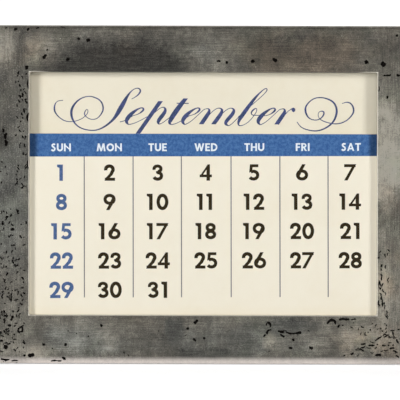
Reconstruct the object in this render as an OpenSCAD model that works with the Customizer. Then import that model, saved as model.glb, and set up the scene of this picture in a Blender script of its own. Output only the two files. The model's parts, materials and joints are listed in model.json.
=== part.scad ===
// Perpetual desk calendar: a sand-cast picture-style frame, ground flat, that leans
// back on a hinged easel leg. Two decks of printed cards stand in the pocket behind
// the window lip: a short deck of date cards in front, and a taller deck of month
// cards behind it, whose heads show above the date cards. Every card lifts out
// through the slot along the top of the frame.
//
// Most pieces are drawn in the plane of the face, in which X runs to the right, Y
// runs back from the front face and Z runs up the face. stand() then leans them
// back and sets them on the desk. The origin is the middle of the felt strip's
// underside, on the desk.

/* [Stance] */
// Angle by which the face leans back from upright, in degrees
lean = 12; // [8:1:16]
// Angle between the open leg and the back, in degrees
leg_spread = 23; // [18:1:26]

/* [Frame] */
// Width of the frame's face beside the window
side_border = 17.5; // [15:0.5:25]
// Height of the frame's face above the window
top_border = 17.2; // [16:0.1:25]
// Height of the frame's face below the window
bottom_border = 17.6; // [16:0.1:25]
// Radius of the rounded front edges
edge_r = 2; // [1:0.1:3]
// Radius of the outer corners, seen from the front
corner_r = 3; // [2:0.5:8]
// Thickness of the lip around the window
lip_t = 2.2; // [1.6:0.1:3]

/* [Window] */
// Width of the window
window_w = 127; // [110:0.5:130]
// Height of the window
window_h = 88.9; // [80:0.1:92]
// Radius of the window's corners
window_r = 0.8; // [0.4:0.1:2]

/* [Cards] */
// Thickness of one card
card_t = 0.4; // [0.3:0.02:0.42]
// Gap between one card and the next
card_gap = 0.05; // [0.03:0.01:0.06]
// How far a card reaches behind the lip at each side
card_overlap = 4; // [2:0.5:5]
// How far a card reaches behind the lip below the window
card_foot = 5; // [3:0.5:6]
// How far a month card reaches behind the lip above the window
card_head = 11.6; // [6:0.1:13]
// Height of the strip above the date cards, where the month's name shows
month_strip_h = 22.4; // [18:0.1:30]
// Radius of a card's corners
card_r = 2; // [1:0.5:4]
// Gap between a card's edge and the pocket wall at each side
card_side_gap = 0.4; // [0.2:0.1:0.6]

/* [Pocket] */
// Gap between the lip and the first card
front_gap = 0.05; // [0.03:0.01:0.2]
// Room left between the last card and the liner
pocket_slack = 0.25; // [0.1:0.05:1]
// Thickness of the felt liner behind the cards
liner_t = 0.5; // [0.3:0.1:0.8]
// Gap between the liner's edge and the pocket wall at each side
liner_side_gap = 0.9; // [0.5:0.1:2]
// Gap between the liner's top edge and the top of the frame
liner_top_gap = 6; // [3:0.5:12]
// Thickness of the felt strip that the cards stand on
rest_t = 1; // [0.6:0.1:1.6]
// Gap between the rest strip's ends and the pocket wall at each side
rest_side_gap = 0.5; // [0.3:0.1:1]
// Gap left above the rest strip when a card is down
rest_gap = 0.02; // [0.01:0.01:0.05]

/* [Back plate] */
// Thickness of the back plate
plate_t = 1.5; // [1:0.1:2]
// Rim of the frame that shows beside the back plate
plate_rim = 5; // [3:0.5:6]
// Rim of the frame that shows below the back plate
plate_rim_below = 7; // [4:0.5:9]
// Gap around the back plate in its rebate
plate_gap = 0.15; // [0.05:0.05:0.3]
// Radius of the finger notch in the back plate's top edge
notch_r = 11; // [8:0.5:13]
// How far the liner's edge stands back from the finger notch
notch_liner_gap = 1; // [0.5:0.1:2]

/* [Screws] */
// Radius of a back screw's shank
screw_r = 1.25; // [1:0.05:1.5]
// Length of a back screw's shank
screw_len = 5.5; // [4:0.5:6]
// Radius of a back screw's head
screw_head_r = 2.3; // [2:0.1:2.5]
// Height of a back screw's head
screw_head_h = 1.3; // [1:0.1:2]
// Width of the slot in a screw's head
screw_slot_w = 0.6; // [0.4:0.1:0.8]
// Depth of the slot in a screw's head
screw_slot_d = 0.6; // [0.4:0.1:0.8]
// Gap around a screw's shank in its hole
screw_gap = 0.05; // [0.03:0.01:0.1]
// Number of back screws down each side
screws_per_side = 3; // [2:1:4]
// Distance of the end screws from the back plate's ends
screw_inset_z = 9; // [6:0.5:14]

/* [Hinge] */
// Distance of the hinge's axis below the frame's top, along the face
hinge_drop = 30; // [29:0.5:44]
// Outer radius of the hinge's knuckles
knuckle_r = 2.4; // [2.1:0.1:2.6]
// Gap between the knuckles and the back plate
knuckle_back_gap = 0.5; // [0.3:0.1:0.8]
// Length of the leg's middle knuckle
leg_knuckle_w = 15; // [12:1:24]
// Length of each of the leaf's two knuckles
leaf_knuckle_w = 12; // [8:1:14]
// Gap between one knuckle and the next
knuckle_gap = 0.15; // [0.1:0.05:0.4]
// Thickness of the hinge leaf
leaf_t = 1.2; // [0.8:0.1:1.4]
// Height of the hinge leaf above the axis
leaf_h = 14; // [11:0.5:18]
// Height of the notch in the leaf that the leg's heel moves in
leaf_notch_h = 5.4; // [5.2:0.1:6]
// Radius of the hinge pin
pin_r = 1.3; // [1:0.05:1.4]
// Gap between the pin and a knuckle's bore
pin_gap = 0.05; // [0.02:0.01:0.09]
// Radius of the hinge pin's heads
pin_head_r = 2.1; // [1.8:0.1:2.3]
// Length of each head of the hinge pin
pin_head_w = 1.2; // [0.8:0.1:2]
// Radius of a rivet's shank
rivet_r = 1; // [0.8:0.1:1.2]
// Radius of a rivet's head
rivet_head_r = 1.9; // [1.6:0.1:2.1]
// Height of a rivet's head
rivet_head_h = 0.9; // [0.6:0.1:1.2]
// Height of the rivets above the hinge's axis
rivet_z = 9.8; // [8.5:0.1:11]
// Distance of the end rivets from the leaf's ends
rivet_inset = 4.4; // [2.5:0.1:6]
// Number of rivets in the leaf
rivet_count = 4; // [2:1:5]

/* [Easel leg] */
// Thickness of the leg
leg_t = 2; // [1.6:0.1:2.4]
// Width of the leg under the hinge
leg_top_w = 40; // [30:1:44]
// Width of the leg at its foot
leg_foot_w = 56; // [40:1:70]
// Radius of the leg's shoulders
leg_shoulder_r = 4; // [2:0.5:6]
// Gap between the leaf's knuckles and the leg's shoulders
leg_shoulder_gap = 0.6; // [0.4:0.1:1]
// Thickness of the heel that stops the leg against the back plate
heel_t = 1.8; // [1.4:0.1:1.9]
// Reach of the heel above the hinge's axis
heel_h = 4.2; // [3.5:0.1:4.3]
// Gap between the heel and the back plate when the leg is open
heel_gap = 0.04; // [0.02:0.01:0.08]
// How much narrower the heel is than its knuckle
heel_inset = 2; // [1:0.5:4]

/* [Feet] */
// Wall of the rubber foot in front of and behind the leg
foot_wall = 1.4; // [1:0.1:1.7]
// Height of the rubber foot
foot_h = 9; // [6:0.5:14]
// Rubber between the leg's end and the desk
foot_sole = 2; // [1.6:0.1:3]
// Radius of the rubber foot's ends, seen from above
foot_r = 1.6; // [1:0.1:2]
// Thickness of the felt strip under the frame
felt_t = 0.6; // [0.4:0.1:1]
// Width of the felt strip under the frame, front to back
felt_w = 5; // [3:0.5:6]
// Gap between the felt strip's ends and the frame's ends
felt_inset = 6; // [4:0.5:20]

/* [Hidden] */
$fn = 64;
cut = 1;                                       // how far a cutting shape runs past what it cuts

// Card prints, from the front of each deck to its back
DATE_CARDS = ["date_card_sun_mon", "date_card_tue_wed", "date_card_thu_fri",
              "date_card_sat_blank"];
MONTH_CARDS = ["month_card_sep_oct", "month_card_nov_dec", "month_card_jan_feb",
               "month_card_mar_apr", "month_card_may_jun", "month_card_jul_aug"];

// Overall size, seen square on to the face
frame_w = window_w + 2 * side_border;
frame_h = bottom_border + window_h + top_border;

// Cards and pocket
card_count = len(DATE_CARDS) + len(MONTH_CARDS);
card_pitch = card_t + card_gap;
card_w = window_w + 2 * card_overlap;
card_z = bottom_border - card_foot;            // lower edge of every card
month_card_h = card_foot + window_h + card_head;
date_card_h = card_foot + window_h - month_strip_h;
first_card_y = lip_t + front_gap;
pocket_w = card_w + 2 * card_side_gap;
pocket_z = card_z - rest_gap - rest_t;         // floor of the pocket
liner_y = first_card_y + card_count * card_pitch + pocket_slack;
plate_y = liner_y + liner_t;                   // front of the back plate
frame_t = plate_y + plate_t;                   // thickness of the frame

// Back plate
plate_w = frame_w - 2 * plate_rim - 2 * plate_gap;
plate_z = plate_rim_below + plate_gap;
screw_x = (pocket_w / 2 + frame_w / 2 - plate_rim) / 2;
screw_first_z = plate_z + screw_inset_z;
screw_pitch = (frame_h - screw_inset_z - screw_first_z) / (screws_per_side - 1);

// Hinge, in the plane of the face
hinge_y = frame_t + knuckle_back_gap + knuckle_r;
hinge_z = frame_h - hinge_drop;
bore_r = pin_r + pin_gap;
leaf_knuckle_x = leg_knuckle_w / 2 + knuckle_gap;
leaf_half_w = leaf_knuckle_x + leaf_knuckle_w;
rivet_span = 2 * (leaf_half_w - rivet_inset);
rivet_x = [for (i = [0 : rivet_count - 1]) (i / (rivet_count - 1) - 0.5) * rivet_span];

// Stance: the round on the lower front edge touches the felt's top, and the frame's
// underside is ground flat from there back
stand_z = felt_t + edge_r * (1 + sin(lean) - cos(lean));
underside_front = edge_r * (cos(lean) + sin(lean));
underside_rear = (frame_t - edge_r * sin(lean) * (1 + sin(lean) - cos(lean))) / cos(lean);
felt_y = (underside_front + underside_rear) / 2;

// The leg's length, from the hinge's axis to the desk, follows from the stance
leg_tilt = leg_spread - lean;
hinge_height = hinge_z * cos(lean) - hinge_y * sin(lean) + stand_z;
leg_len = hinge_height / cos(leg_tilt);
leg_shoulder_z = knuckle_r + leg_shoulder_gap;
foot_w = leg_foot_w + 2 * foot_wall;
foot_t = leg_t + 2 * foot_wall;

// Leans a piece back and sets it on the desk, over the origin
module stand() {
    translate([0, -felt_y, stand_z]) rotate([-lean, 0, 0]) children();
}

// Turns a piece drawn along the folded leg, with the hinge's axis at its origin, to
// where the open leg stands
module open_leg() {
    stand() translate([0, hinge_y, hinge_z]) rotate([leg_spread, 0, 0]) children();
}

// A rectangle with round corners, centred on X, from Z = 0 up
module rounded_rect(w, h, r) {
    translate([-w / 2 + r, 0]) square([w - 2 * r, h]);
    translate([-w / 2, r]) square([w, h - 2 * r]);
    for (x = [-w / 2 + r, w / 2 - r], z = [r, h - r])
        translate([x, z]) circle(r);
}

// Extrudes an outline drawn in X and Z back from y by the depth t
module plate(y, t) {
    translate([0, y + t, 0]) rotate([90, 0, 0]) linear_extrude(t) children();
}

// A cylinder of radius r along Y, from y back by the depth t
module peg(x, y, z, r, t) {
    translate([x, y, z]) rotate([-90, 0, 0]) cylinder(r = r, h = t);
}

// A cylinder of radius r along X, centred on x
module rod(x, y, z, r, len) {
    translate([x, y, z]) rotate([0, 90, 0]) cylinder(r = r, h = len, center = true);
}

// A low domed head, of radius r and height h, standing on the plane y
module domed_head(x, y, z, r, h) {
    dome_r = (r * r + h * h) / (2 * h);
    intersection() {
        peg(x, y, z, r, h);
        translate([x, y + h - dome_r, z]) sphere(dome_r);
    }
}

// Side view of the frame's blank: Y to the right, Z up. The lower front round runs
// on to where it touches the desk side
module side_outline() {
    translate([edge_r, edge_r]) circle(edge_r);
    translate([edge_r, frame_h - edge_r]) circle(edge_r);
    translate([0, edge_r]) square([frame_t, frame_h - 2 * edge_r]);
    translate([edge_r, frame_h - 2 * edge_r]) square([frame_t - edge_r, 2 * edge_r]);
    translate([edge_r * (1 + sin(lean)), -edge_r])
        square([frame_t - edge_r * (1 + sin(lean)), 3 * edge_r]);
}

// View of the blank from above: X to the right, Y up
module top_outline() {
    for (x = [-1, 1] * (frame_w / 2 - edge_r))
        translate([x, edge_r]) circle(edge_r);
    translate([-frame_w / 2 + edge_r, 0]) square([frame_w - 2 * edge_r, frame_t]);
    translate([-frame_w / 2, edge_r]) square([frame_w, frame_t - edge_r]);
}

// The casting before its window and pocket are cut
module frame_blank() {
    intersection() {
        rotate([90, 0, 90]) linear_extrude(frame_w, center = true) side_outline();
        translate([0, 0, -edge_r]) linear_extrude(frame_h + edge_r) top_outline();
        translate([0, 0, -corner_r - edge_r])
            plate(-cut, frame_t + 2 * cut)
                rounded_rect(frame_w, frame_h + corner_r + edge_r, corner_r);
    }
}

// Places what it is given at every back screw
module at_back_screws() {
    for (x = [-screw_x, screw_x], i = [0 : screws_per_side - 1])
        translate([x, 0, screw_first_z + i * screw_pitch]) children();
}

module frame() {
    color("dimgray") difference() {
        stand() difference() {
            frame_blank();
            translate([0, 0, bottom_border])
                plate(-cut, frame_t + 2 * cut) rounded_rect(window_w, window_h, window_r);
            translate([-pocket_w / 2, lip_t, pocket_z])
                cube([pocket_w, frame_t, frame_h]);
            translate([-plate_w / 2 - plate_gap, plate_y, plate_rim_below])
                cube([plate_w + 2 * plate_gap, frame_t, frame_h]);
            at_back_screws()
                peg(0, frame_t - screw_len - screw_gap, 0, screw_r + screw_gap, frame_t);
        }
        // the underside is ground flat, parallel to the desk
        translate([-frame_w, -frame_w, felt_t - frame_w]) cube([2, 2, 1] * frame_w);
    }
}

// The plate's top edge has a notch for the finger that lifts the cards
module back_plate() {
    color("gray") stand() difference() {
        translate([-plate_w / 2, plate_y, plate_z])
            cube([plate_w, plate_t, frame_h - plate_z]);
        at_back_screws() peg(0, plate_y - cut, 0, screw_r + 2 * screw_gap, plate_t + 2 * cut);
        peg(0, plate_y - cut, frame_h, notch_r, plate_t + 2 * cut);
        for (x = rivet_x)
            peg(x, plate_y - cut, hinge_z + rivet_z, rivet_r + screw_gap, plate_t + 2 * cut);
    }
}

// Slotted screws that hold the back plate in its rebate
module back_screws() {
    color("silver") stand() at_back_screws() {
        peg(0, frame_t - screw_len, 0, screw_r, screw_len);
        difference() {
            domed_head(0, frame_t, 0, screw_head_r, screw_head_h);
            translate([-screw_head_r, frame_t + screw_head_h - screw_slot_d, -screw_slot_w / 2])
                cube([2 * screw_head_r, screw_slot_d + cut, screw_slot_w]);
        }
    }
}

// Felt glued to the inside of the back plate
module back_liner() {
    liner_z = pocket_z + rest_t;
    color("black") stand() difference() {
        translate([-pocket_w / 2 + liner_side_gap, liner_y, liner_z])
            cube([pocket_w - 2 * liner_side_gap, liner_t, frame_h - liner_top_gap - liner_z]);
        peg(0, liner_y - cut, frame_h, notch_r + notch_liner_gap, liner_t + 2 * cut);
    }
}

// Felt strip on the pocket's floor, which the cards stand on
module rest_strip() {
    color("black") stand()
        translate([-pocket_w / 2 + rest_side_gap, lip_t, pocket_z])
            cube([pocket_w - 2 * rest_side_gap, plate_y - lip_t, rest_t]);
}

// Card number i, counted from the front of the whole stack
module card(i, h) {
    color("ivory") stand()
        translate([0, 0, card_z])
            plate(first_card_y + i * card_pitch, card_t) rounded_rect(card_w, h, card_r);
}

// Brass leaf with two knuckles. Its notch leaves room for the leg's heel
module hinge_leaf() {
    color("goldenrod") stand() difference() {
        union() {
            difference() {
                translate([-leaf_half_w, frame_t, hinge_z])
                    cube([2 * leaf_half_w, leaf_t, leaf_h]);
                translate([-leaf_knuckle_x, frame_t - cut, hinge_z - cut])
                    cube([2 * leaf_knuckle_x, leaf_t + 2 * cut, leaf_notch_h + cut]);
            }
            for (side = [-1, 1])
                rod(side * (leaf_knuckle_x + leaf_knuckle_w / 2), hinge_y, hinge_z,
                    knuckle_r, leaf_knuckle_w);
        }
        rod(0, hinge_y, hinge_z, bore_r, 2 * leaf_half_w + 2 * cut);
        for (x = rivet_x)
            peg(x, frame_t - cut, hinge_z + rivet_z, rivet_r + screw_gap, leaf_t + 2 * cut);
    }
}

// Rivets through the leaf and the back plate, flush on the inside
module hinge_rivets() {
    color("goldenrod") stand() for (x = rivet_x) {
        peg(x, plate_y, hinge_z + rivet_z, rivet_r, plate_t + leaf_t);
        domed_head(x, frame_t + leaf_t, hinge_z + rivet_z, rivet_head_r, rivet_head_h);
    }
}

module hinge_pin() {
    color("goldenrod") stand() {
        rod(0, hinge_y, hinge_z, pin_r, 2 * leaf_half_w);
        for (side = [-1, 1])
            rod(side * (leaf_half_w + pin_head_w / 2), hinge_y, hinge_z,
                pin_head_r, pin_head_w);
    }
}

// Outline of the leg below its knuckle: X across, Z down from the hinge's axis to
// the end that sits in the rubber foot
module leg_outline() {
    top = -leg_shoulder_z;
    end = -leg_len + foot_sole;
    r = leg_shoulder_r;
    polygon([[-leg_top_w / 2 + r, top], [leg_top_w / 2 - r, top],
             [leg_top_w / 2, top - r], [leg_foot_w / 2, end + foot_h - foot_sole],
             [leg_foot_w / 2, end], [-leg_foot_w / 2, end],
             [-leg_foot_w / 2, end + foot_h - foot_sole], [-leg_top_w / 2, top - r]]);
    for (x = [-1, 1] * (leg_top_w / 2 - r))
        translate([x, top - r]) circle(r);
    translate([-leg_knuckle_w / 2, top - r]) square([leg_knuckle_w, r - top]);
}

// Plate of the leg, in its own thickness about the hinge's axis
module leg_plate() {
    plate(-leg_t / 2, leg_t) leg_outline();
}

// The leg, its middle knuckle, and the heel that lies against the back plate when
// the leg is open
module easel_leg() {
    heel_w = leg_knuckle_w - 2 * heel_inset;
    color("dimgray") difference() {
        union() {
            open_leg() {
                leg_plate();
                rod(0, 0, 0, knuckle_r, leg_knuckle_w);
            }
            stand() translate([-heel_w / 2, frame_t + heel_gap, hinge_z + heel_gap])
                cube([heel_w, heel_t, heel_h - heel_gap]);
        }
        open_leg() rod(0, 0, 0, bore_r, leg_knuckle_w + 2 * cut);
    }
}

// Rubber foot that the leg's end sits in, cut flat to stand on the desk
module leg_foot() {
    color("black") difference() {
        open_leg() difference() {
            translate([0, 0, -leg_len - foot_t])
                linear_extrude(foot_h + foot_t)
                    translate([0, -foot_t / 2]) rounded_rect(foot_w, foot_t, foot_r);
            leg_plate();
        }
        translate([-foot_w, -foot_w, -frame_h]) cube([2 * foot_w, 4 * foot_w, frame_h]);
    }
}

// Felt strip glued under the frame, which stands on the desk
module base_felt() {
    color("black")
        translate([-frame_w / 2 + felt_inset, -felt_w / 2, 0])
            cube([frame_w - 2 * felt_inset, felt_w, felt_t]);
}

frame();
back_plate();
back_screws();
back_liner();
rest_strip();
hinge_leaf();
hinge_rivets();
hinge_pin();
easel_leg();
leg_foot();
base_felt();
for (i = [0 : len(DATE_CARDS) - 1])
    card(i, date_card_h);
for (i = [0 : len(MONTH_CARDS) - 1])
    card(len(DATE_CARDS) + i, month_card_h);
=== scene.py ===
# %% [markdown]
# # A perpetual desk calendar
#
# The object is a small sand-cast metal frame that leans back on a hinged leg. Printed cards stand
# in a pocket behind its window: four date cards in front, and six taller month cards behind them,
# whose heads show above the date cards. Every card can be lifted out through the slot along the
# top, so one set of ten cards serves every month of every year.
#
# A packed model of the solids is loaded first and is never changed. It says where every piece is
# and how it moves. The cells below dress it: new surfaces where the solids are too plain, printed
# ink on the cards, and a finish for every material.

# %% Load the fixed frame
import json
import math

import bmesh
import bpy
import numpy as np
from mathutils import Matrix, Vector
from mathutils.geometry import delaunay_2d_cdt


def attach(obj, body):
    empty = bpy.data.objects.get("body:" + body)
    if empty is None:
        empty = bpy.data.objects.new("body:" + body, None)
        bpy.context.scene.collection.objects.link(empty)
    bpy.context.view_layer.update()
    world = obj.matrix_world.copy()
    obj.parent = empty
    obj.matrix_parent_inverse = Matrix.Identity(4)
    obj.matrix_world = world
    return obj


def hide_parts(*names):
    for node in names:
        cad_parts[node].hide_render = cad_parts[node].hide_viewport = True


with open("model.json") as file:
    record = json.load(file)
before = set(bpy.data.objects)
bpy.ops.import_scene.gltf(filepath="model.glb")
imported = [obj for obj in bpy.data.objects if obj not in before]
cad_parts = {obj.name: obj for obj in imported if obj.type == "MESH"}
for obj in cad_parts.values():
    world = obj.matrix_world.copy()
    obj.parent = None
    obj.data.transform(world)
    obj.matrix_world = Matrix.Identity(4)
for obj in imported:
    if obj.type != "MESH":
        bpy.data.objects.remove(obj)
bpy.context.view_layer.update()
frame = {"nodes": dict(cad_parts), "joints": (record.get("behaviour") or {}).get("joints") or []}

# %% [markdown]
# ## Face coordinates
#
# The face leans back 12 degrees, which makes every position awkward in desk coordinates. So pieces
# are drawn in face coordinates, in millimetres: x to the right, y back from the front face and z
# up the face. The direction "up the face" is read from the joint that a card slides along, and the
# origin from the front date card, whose place on the face is known: its front is 2.25 mm behind
# the face and its lower edge 12.6 mm above the frame's lower edge.

# %% The directions and the origin of the face
MM = 0.001
FIRST_CARD, CARD_LOW = 2.25, 12.6
slide = next(j for j in frame["joints"] if j["name"] == "date_card_sun_mon_lift")
UP = np.array(slide["axis"], float)
UP /= np.linalg.norm(UP)
BACK = np.array([0.0, UP[2], -UP[1]])
RIGHT = np.array([1.0, 0.0, 0.0])


def node_points(name):
    """The vertices of a CAD node, in metres, as rows of x, y, z."""
    mesh = frame["nodes"][name].data
    flat = np.zeros(len(mesh.vertices) * 3)
    mesh.vertices.foreach_get("co", flat)
    return flat.reshape(-1, 3)


first_card = node_points("date_card_sun_mon")
BACK_0 = (first_card @ BACK).min() - FIRST_CARD * MM
UP_0 = (first_card @ UP).min() - CARD_LOW * MM


def on_face(x, y, z):
    """Desk coordinates in metres of face coordinates in millimetres: the origin, plus x to the
    right, plus y along the way back, plus z along the way up the face."""
    x, y, z = np.broadcast_arrays(x, y, z)
    place = np.outer(x.ravel() * MM, RIGHT)
    place += np.outer(y.ravel() * MM + BACK_0, BACK)
    place += np.outer(z.ravel() * MM + UP_0, UP)
    return place


print("lean of the face: %.2f degrees" % math.degrees(math.atan2(UP[1], UP[2])))

# %% [markdown]
# ## Sizes
#
# These are the sizes of the real frame, in millimetres. The window is the common 5 by 3.5 inch
# print opening, and the borders around it are all about 17.5 mm wide.

# %% Sizes of the frame and its cards
FRAME_W, FRAME_H, FRAME_T = 162.0, 123.7, 9.0
EDGE_R, CORNER_R, FOOT_CORNER_R, LIP_T = 2.0, 3.0, 0.6, 2.2
WINDOW_W, WINDOW_LOW, WINDOW_HIGH, WINDOW_R = 127.0, 17.8, 106.5, 0.8
HALF_WINDOW = WINDOW_W / 2
HALF_WINDOW_H = (WINDOW_HIGH - WINDOW_LOW) / 2
WINDOW_MID = (WINDOW_LOW + WINDOW_HIGH) / 2
POCKET_W, POCKET_FLOOR, POCKET_BACK = 135.8, 11.58, 7.5
PLATE_RIM, PLATE_RIM_BELOW = 5.0, 7.0
CARD_W, CARD_T, CARD_R, CARD_PITCH = 135.0, 0.4, 2.0, 0.45
DATE_TOP, DATE_CARDS = 84.1, 4
print("face %.0f x %.1f mm, window %.0f x %.1f mm"
      % (FRAME_W, FRAME_H, WINDOW_W, WINDOW_HIGH - WINDOW_LOW))

# %% [markdown]
# ## Making a piece
#
# Each new surface is a grid of points worked out with numpy: a section, closed on itself like a
# hose's, carried along a path. Three helpers turn it into a piece. The first lists the grid's
# four-cornered faces, the second builds the mesh and hangs its materials on it, and the third says
# which body the piece rides on and hides the CAD nodes it stands for.

# %% Grid faces and pieces
def grid_faces(rows, columns, close_rows=False):
    """The quads of a grid of points. Point (i, j) has number i * columns + j, and each quad
    joins a point to the next in its row and the two above them. Every row is a closed ring, and
    the last row may be joined to the first."""
    i = np.arange(rows if close_rows else rows - 1)[:, None]
    j = np.arange(columns)[None, :]
    i2, j2 = (i + 1) % rows, (j + 1) % columns
    quads = np.stack([i * columns + j, i * columns + j2, i2 * columns + j2, i2 * columns + j], -1)
    return quads.reshape(-1, 4)


def new_piece(name, points, faces, finishes, smooth=None, slots=None):
    """An object whose mesh holds the points, in metres, and the faces. Edges that turn by more
    than smooth degrees stay crisp; slots gives each face's material number."""
    mesh = bpy.data.meshes.new(name)
    mesh.from_pydata(np.asarray(points).tolist(), [], [list(map(int, f)) for f in faces])
    for finish in finishes:
        mesh.materials.append(finish.material)
    if slots is not None:
        mesh.polygons.foreach_set("material_index", np.asarray(slots, np.int32))
    mesh.validate()
    if smooth:
        mesh.polygons.foreach_set("use_smooth", np.ones(len(mesh.polygons), bool))
        mesh.set_sharp_from_angle(angle=math.radians(smooth))
    mesh.update()
    piece = bpy.data.objects.new(name, mesh)
    bpy.context.scene.collection.objects.link(piece)
    return piece


def fit(piece, body, slot, *nodes):
    """The piece rides on a body and stands for CAD nodes, which are hidden. slot is not used."""
    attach(piece, body)
    if nodes:
        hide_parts(*nodes)
    print("%-22s rides on %-20s %6d faces" % (piece.name, body, len(piece.data.polygons)))
    return piece


# %% [markdown]
# ## Writing materials as sums
#
# A finish is made of numbers that vary over a surface. Blender keeps such sums as nodes joined by
# wires, which are slow to write one by one. The class below wraps a node's output socket, so that
# a sum such as `1 - mask * 0.5` adds its own Math nodes. Colours and vectors are kept apart from
# plain numbers: they go through Mix and Vector Math nodes.

# %% The class that wraps a socket
class Amount:
    """A number, colour or vector that varies over a surface."""

    def __init__(self, finish, socket):
        self.finish, self.socket = finish, socket

    def maths(self, how, *others, flip=False):
        """A Math node on this number and the others, in their order, or turned round."""
        terms = (self, *others)
        terms = terms[::-1] if flip else terms
        return self.finish.node("ShaderNodeMath", {"operation": how}, dict(enumerate(terms)))

    def __add__(self, other):
        return self.maths("ADD", other)

    def __radd__(self, other):
        return self.maths("ADD", other)

    def __sub__(self, other):
        return self.maths("SUBTRACT", other)

    def __rsub__(self, other):
        return self.maths("SUBTRACT", other, flip=True)

    def __mul__(self, other):
        return self.maths("MULTIPLY", other)

    def __rmul__(self, other):
        return self.maths("MULTIPLY", other)

    def __abs__(self):
        return self.maths("ABSOLUTE")

    def least(self, other):
        """The smaller of two numbers."""
        return self.maths("MINIMUM", other)

    def most(self, other):
        """The larger of two numbers."""
        return self.maths("MAXIMUM", other)

    def root(self):
        """The square root."""
        return self.maths("SQRT")

    def rise(self, low, high):
        """0 below low, 1 above high, and a smooth rise between; turned round if high < low."""
        turned = high < low
        ends = {1: min(low, high), 2: max(low, high), 3: float(turned), 4: float(not turned)}
        settings = {"interpolation_type": "SMOOTHSTEP"}
        return self.finish.node("ShaderNodeMapRange", settings, {0: self, **ends})


print("beside its operators an amount has:", [name for name in vars(Amount) if name[0] != "_"])

# %% [markdown]
# The second class is one material. Its `node` method makes any node: it sets the node's own
# settings first, because some of them decide which sockets there are, and then gives every socket
# its value or its wire.

# %% The class that makes a material
class Finish:
    """A material made of nodes around one Principled shader."""

    def __init__(self, name):
        self.material = bpy.data.materials.new(name)
        self.material.use_nodes = True
        self.tree = self.material.node_tree
        self.tree.nodes.clear()
        self.output = self.tree.nodes.new("ShaderNodeOutputMaterial")
        self.shader = self.tree.nodes.new("ShaderNodeBsdfPrincipled")
        self.tree.links.new(self.shader.outputs[0], self.output.inputs["Surface"])
        self.place = self.node("ShaderNodeTexCoord", out="Object")

    def node(self, kind, settings=None, sockets=None, out=0):
        """Adds a node of a kind, with its settings and the values or links of its sockets, and
        gives back one of its outputs. A ramp's stops are given as pairs of place and colour."""
        made = self.tree.nodes.new(kind)
        for key, value in (settings or {}).items():
            if key == "stops":
                ramp = made.color_ramp
                while len(ramp.elements) < len(value):
                    ramp.elements.new(0.5)
                for stop, (place, colour) in zip(ramp.elements, value):
                    stop.position, stop.color = place, (*colour, 1.0)
            else:
                setattr(made, key, value)
        for key, value in (sockets or {}).items():
            self.wire(made.inputs[key], value)
        return Amount(self, made.outputs[out])

    def wire(self, socket, value):
        """A socket takes a link from an Amount, or a plain number, colour or vector."""
        if isinstance(value, Amount):
            self.tree.links.new(value.socket, socket)
        elif socket.type == "RGBA":
            socket.default_value = (*value, 1.0)
        else:
            socket.default_value = value

    def set(self, **values):
        """Sets the shader's own sockets, by name with _ for a space."""
        for key, value in values.items():
            self.wire(self.shader.inputs[key.replace("_", " ")], value)
        return self

    def vector(self, how, a, b, out=0):
        """A Vector Math node on two vectors."""
        return self.node("ShaderNodeVectorMath", {"operation": how}, {0: a, 1: b}, out)

    def mix(self, share, a, b, how="MIX"):
        """A Mix node on two colours: a where the share is 0, and b where it is 1."""
        settings = {"data_type": "RGBA", "blend_type": how, "clamp_factor": True}
        return self.node("ShaderNodeMix", settings, {0: share, 6: a, 7: b}, out=2)

    def noise(self, at, scale, detail, rough=0.5):
        """Soft random cloud between 0 and 1, about 1 / scale across."""
        sockets = {"Vector": at, "Scale": scale, "Detail": detail, "Roughness": rough}
        return self.node("ShaderNodeTexNoise", {"noise_dimensions": "3D"}, sockets)

    def dots(self, at, scale):
        """The distance to the nearest of many scattered points, about 1 / scale apart."""
        sockets = {"Vector": at, "Scale": scale}
        return self.node("ShaderNodeTexVoronoi", {"feature": "F1"}, sockets)

    def bump(self, height, distance, strength):
        """A Bump node: height in the range 0 to 1 stands for distance in metres."""
        sockets = {"Strength": strength, "Distance": distance, "Height": height}
        return self.node("ShaderNodeBump", None, sockets)

    def face_place(self):
        """Face coordinates in millimetres: how far the place is to the right, back and up."""
        parts = []
        for way, zero in ((RIGHT, 0.0), (BACK, BACK_0), (UP, UP_0)):
            along = self.vector("DOT_PRODUCT", self.place, tuple(way), out=1)
            parts.append((along - zero) * (1 / MM))
        return parts

    def join(self, x, y, z):
        """A vector of three numbers."""
        return self.node("ShaderNodeCombineXYZ", None, {0: x, 1: y, 2: z})


print("a finish has:", [name for name in vars(Finish) if name[0] != "_"])

# %% [markdown]
# ## The camera
#
# The calendar is looked at square on to its leaning face, from a little over half a metre. The
# field of view is what a 36 mm wide sensor sees through a lens long enough to take in 146 mm of
# the face. The camera is rolled by a fraction of a degree.

# %% Camera
VIEW_FROM = 550.0
VIEW_CENTRE = (-1.15, 59.86)
VIEW_WIDTH = 145.84
ROLL = math.radians(0.15)
SENSOR = 36.0

camera_data = bpy.data.cameras.new("camera")
camera = bpy.data.objects.new("camera", camera_data)
bpy.context.scene.collection.objects.link(camera)
bpy.context.scene.camera = camera
camera_data.sensor_width = SENSOR
camera_data.lens = SENSOR * VIEW_FROM / VIEW_WIDTH
camera.location = Vector(on_face(VIEW_CENTRE[0], -VIEW_FROM, VIEW_CENTRE[1])[0])
across = math.cos(ROLL) * RIGHT + math.sin(ROLL) * UP
upright = math.cos(ROLL) * UP - math.sin(ROLL) * RIGHT
camera.rotation_mode = "QUATERNION"
camera.rotation_quaternion = Matrix(np.stack([across, upright, -BACK], 1).tolist()).to_quaternion()
print("lens %.1f mm, camera at" % camera_data.lens, [round(c, 3) for c in camera.location])

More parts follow.
